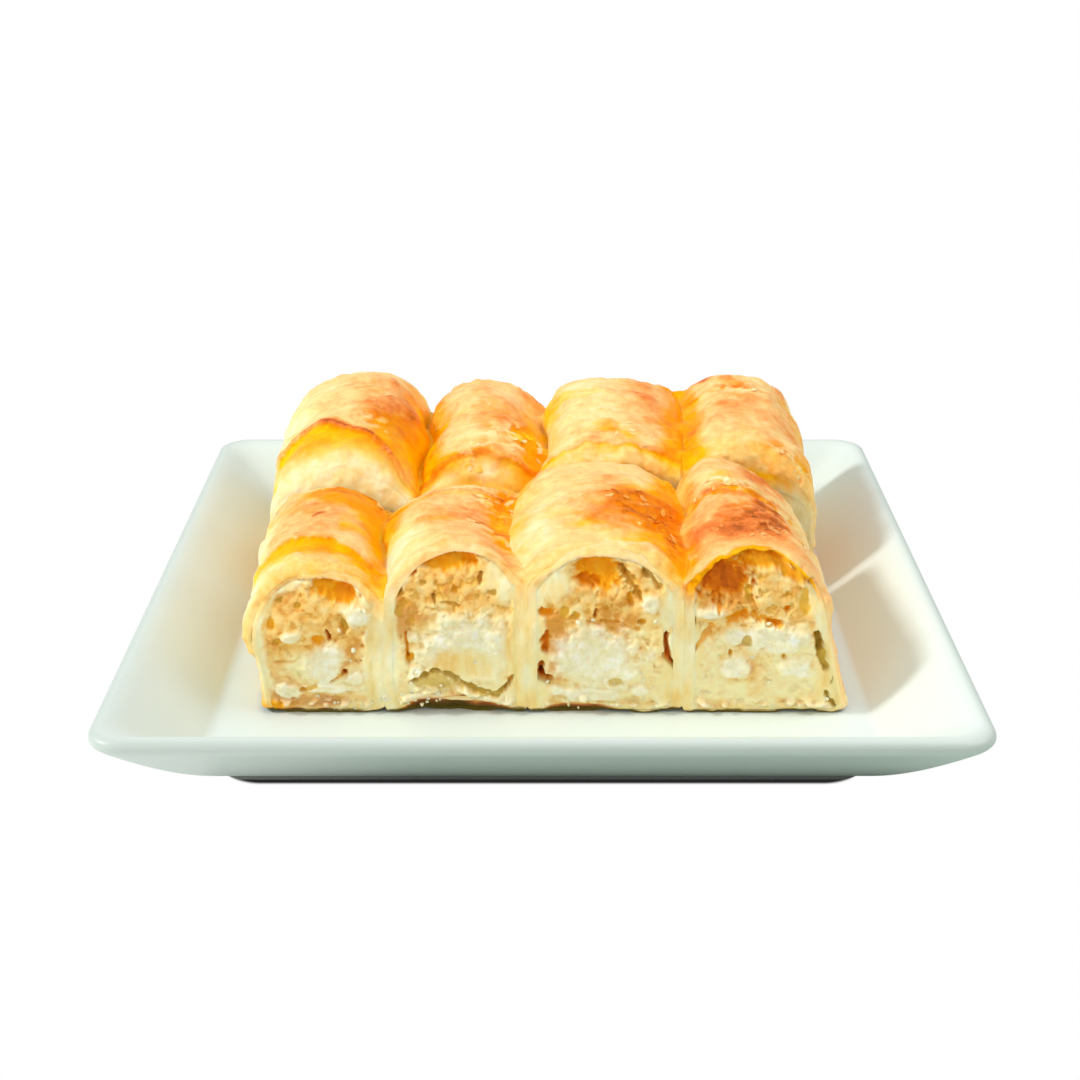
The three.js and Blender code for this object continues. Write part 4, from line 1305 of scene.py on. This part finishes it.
browned = add(tree, "Math", {0: mottle, 1: 0.7, 2: tan}, operation="MULTIPLY_ADD")
crumb = add(
    tree, "ValToRGB", {"Fac": browned},
    [(0.25, "#fdf0ba"), (0.5, "#fadf9c"), (0.8, "#f3c670"), (1, "#e0a048")],
)
cheese = add(tree, "ValToRGB", {"Fac": mottle}, [(0.3, "#eadeae"), (0.5, "#f4ecc8"), (0.7, "#fbf8e6")])
# The stain colours run to dark, which also paints shade in pores, creases, slits and the gap under the
# foot.
stain_and_shade_colour = add(
    tree, "ValToRGB", {"Fac": tint},
    [
        (0, "#d4b450"), (0.25, "#f4bc34"), (0.5, "#ffa808"), (0.75, "#dc780c"), (0.92, "#a04c0c"),
        (1, "#584a18"),
    ],
)
flesh = add(tree, "Mix", {0: curd, 6: crumb, 7: cheese}, data_type="RGBA", out=2)
walled = add(tree, "Mix", {0: wall, 6: flesh, 7: cut_dough(tree, where)}, data_type="RGBA", out=2)
colour = add(tree, "Mix", {0: stain_and_shade, 6: walled, 7: stain_and_shade_colour}, data_type="RGBA", out=2)
rough = add(tree, "MapRange", {"Value": curd, "To Min": 0.5, "To Max": 0.35})
bump = add(tree, "Bump", {"Height": grain, "Strength": 0.5, "Distance": 0.15 * MM})
join(tree, shader, {"Base Color": colour, "Roughness": rough, "Normal": bump})

for roll in rolls:
    rings, marks, poles = filling(roll)
    piece = skin(roll["name"] + "_curds", rings, marks, curd_filling, poles)
    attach(piece, "root")
    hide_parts(roll["name"] + "_filling")


# ---- crumbs and flakes ------------------------------------------------------------------
# Bits that came loose: flakes of filo on the crusts, crumbs of cheese on the front cut and along
# its foot, and thin leaves of filo that hang off it. Each is a small curled pebble or leaf.
# A heap is where it lies, how many bits it has, how far they spread and how big they are.
FLAKES = {
    "front_roll_1": ((-42, 5, 7, 3, 1.3), (-60, -22, 4, 4, 0.9)),
    "front_roll_2": ((-12, -3, 9, 4, 1.4), (-14, -28, 6, 5, 1.0)),
    "front_roll_3": ((27, -23, 12, 5, 1.2), (30, -32, 9, 3, 1.0), (10, -18, 4, 6, 0.9)),
    "front_roll_4": (
        (58, -38, 14, 4, 1.4), (61, -19, 7, 3, 1.2), (47, -12, 10, 5, 1.2), (46, -44, 6, 4, 1.0),
    ),
    "back_roll_1": ((-43, 22, 3, 1, 0.9), (-46, 50, 5, 8, 1.0)),
    "back_roll_2": ((-7, 30, 10, 4, 1.5), (-19, 18, 6, 2.5, 1.4), (-24, 45, 4, 6, 0.9)),
    "back_roll_3": ((24, 24, 5, 4, 1.1),), "back_roll_4": ((69, 20, 7, 2, 1.0), (56, 60, 5, 5, 1.1)),
}
CRUMBS = (
    (-37, 2.4, 16, 3, 1.0), (-30, 3.4, 12, 3, 0.8), (-18, 4, 9, 5, 0.7), (-50, 1.6, 8, 5, 0.7),
    (-6, 2.4, 9, 5, 0.5), (2.5, 6.3, 6, 1.3, 0.9), (17, 10, 8, 4, 0.8), (24, 6, 6, 2, 0.7),
    (44, 2, 8, 7, 0.5), (67, 1.8, 6, 3, 0.6), (-51, 12, 5, 4, 0.8), (-44, 24, 4, 2, 0.8),
    (14, 16, 9, 6, 0.9), (-18, 17, 8, 6, 0.8), (56, 19, 6, 5, 0.7), (11, 3, 8, 6, 0.5),
    (-55, 2.5, 6, 8, 0.5),
)


def bits(name, at, axes, half, curl, marks, material):
    """Many small closed bits as one mesh. A bit at s along its length and turn a round it is at
    length * s, width * r * cos a, thick * r * sin a + curl * s^2, with r^2 = 1 - s^2, and it is
    lumpy."""
    s = np.sin(np.linspace(-1.45, 1.45, 12))[None, :, None]
    a = np.linspace(0, 2 * np.pi, 14, endpoint=False)[None, None, :]
    r = np.sqrt(1 - s * s)
    length, width, thick = (v[:, None, None] for v in half.T)
    up = thick * r * np.sin(a) + curl[:, None, None] * s * s
    local = [length * s + 0 * a, width * r * np.cos(a), up]
    parts = [part[..., None] * axes[:, i, None, None, :] for i, part in enumerate(local)]
    rings = at[:, None, None, :] + sum(parts)
    lumps = np.stack([noise(rings, 0.9, 60 + i) for i in range(3)], -1)
    rings = rings + (0.45 * np.minimum(thick, 0.5) + 0.12 * width)[..., None] * lumps
    count, n, m = rings.shape[:3]
    index = np.arange(count * n * m).reshape(count, n, m)
    tips = index.size + np.arange(2 * count).reshape(2, count, 1)
    points = np.concatenate([rings.reshape(-1, 3), rings[:, 0].mean(1), rings[:, -1].mean(1)])
    whole = {key: np.concatenate([np.repeat(v, n * m), v, v]) for key, v in marks.items()}
    return make_object(name, points, stitch(index), fans(index, tips), whole, material)


def lying(normal, rng):
    """Three axes for each bit: two at random in the surface that it lies on, and one out of it."""
    first = np.cross(normal, rng.normal(size=normal.shape))
    first /= np.linalg.norm(first, axis=1, keepdims=True)
    return np.stack([first, np.cross(normal, first), normal], 1)


rng = np.random.default_rng(7)
found = []
for name, heaps in FLAKES.items():
    points, normals, toasts, butters = surfaces[name]
    top = np.flatnonzero(normals[:, 2] > 0.3)
    for x, y, count, wide, size in heaps:
        spots = np.array([x, y]) + wide * rng.normal(size=(count, 2))
        near = top[((points[top, None, :2] - spots) ** 2).sum(-1).argmin(0)]
        big = size * rng.uniform(0.5, 1.2, (count, 1))
        found.append(np.hstack([points[near], normals[near], toasts[near], butters[near], big]))
found = np.concatenate(found)
at, out, toasts, butters, big = found[:, :3], found[:, 3:6], found[:, 6], found[:, 7], found[:, 8]
half = np.stack([big, big * rng.uniform(0.4, 0.9, len(big)), rng.uniform(0.08, 0.14, len(big))], 1)
toasts = toasts - rng.uniform(0.05, 0.25, len(big))
looks = {"toast": toasts, "butter": butters * rng.uniform(0, 0.7, len(big)), "cut": 0 * big}
axes = lying(out, rng)
curl = 0.25 * big * rng.uniform(0, 1, len(big))
flakes = bits("filo_flakes", at + 0.06 * out, axes, half, curl, looks, baked_filo)

spots = np.concatenate([
    np.stack([
        x + wide * rng.normal(size=count),
        np.abs(h + wide * rng.normal(size=count) * min(1, h / 8)) + 0.6,
        size * rng.uniform(0.4, 1, count),
    ], 1)
    for x, h, count, wide, size in CRUMBS
])
middle = np.zeros(len(spots))
face_y = cut_y(rolls[1], 0, middle, spots[:, 0], np.minimum(spots[:, 1], 20))
at = settle(np.stack([spots[:, 0], face_y + 0.5, spots[:, 1] + STAND], 1))
out = np.tile([0.0, -1.0, 0.0], (len(at), 1))
half = spots[:, 2:] * rng.uniform(0.6, 1, (len(at), 3))
looks = {"curd": middle + 0.9, "wall": middle, "stain_and_shade": middle, "tint": middle, "tan": middle + 0.2}
crumbs = bits("cheese_crumbs", at, lying(out, rng), half, middle, looks, curd_filling)

# Where each hanging leaf is, the way it hangs, its half sizes and how far it curls.
LEAVES = (
    ((72, -56.4, 4), (0.55, 0, -0.83), (3.6, 1.3, 0.25), 0.6),
    ((6.3, -57.4, 3), (0.05, 0, -1), (2.4, 0.4, 0.3), -0.4),
    ((-21, -57.3, 3.4), (1, 0, -0.04), (6.5, 0.6, 0.35), -0.3),
    ((-7, -57.2, 2.2), (1, 0, 0.02), (5, 0.5, 0.3), -0.2),
    ((12, -57.3, 2.4), (1, 0, -0.03), (6, 0.6, 0.35), -0.3),
)
at, way, half, curl = (np.array(v, float) for v in zip(*LEAVES))
way /= np.linalg.norm(way, axis=1, keepdims=True)
face_out = np.tile([0.0, -1.0, 0.0], (len(at), 1))
axes = np.stack([way, np.cross(face_out, way), face_out], 1)
same = np.zeros(len(at))
looks = {"toast": same + 0.12, "butter": same, "cut": same + 0.6}
leaves = bits("hanging_leaves", at + [0, 0, STAND], axes, half, curl, looks, baked_filo)
for piece, slot in ((flakes, "baked_filo"), (crumbs, "curd_filling"), (leaves, "baked_filo")):
    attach(piece, "root")
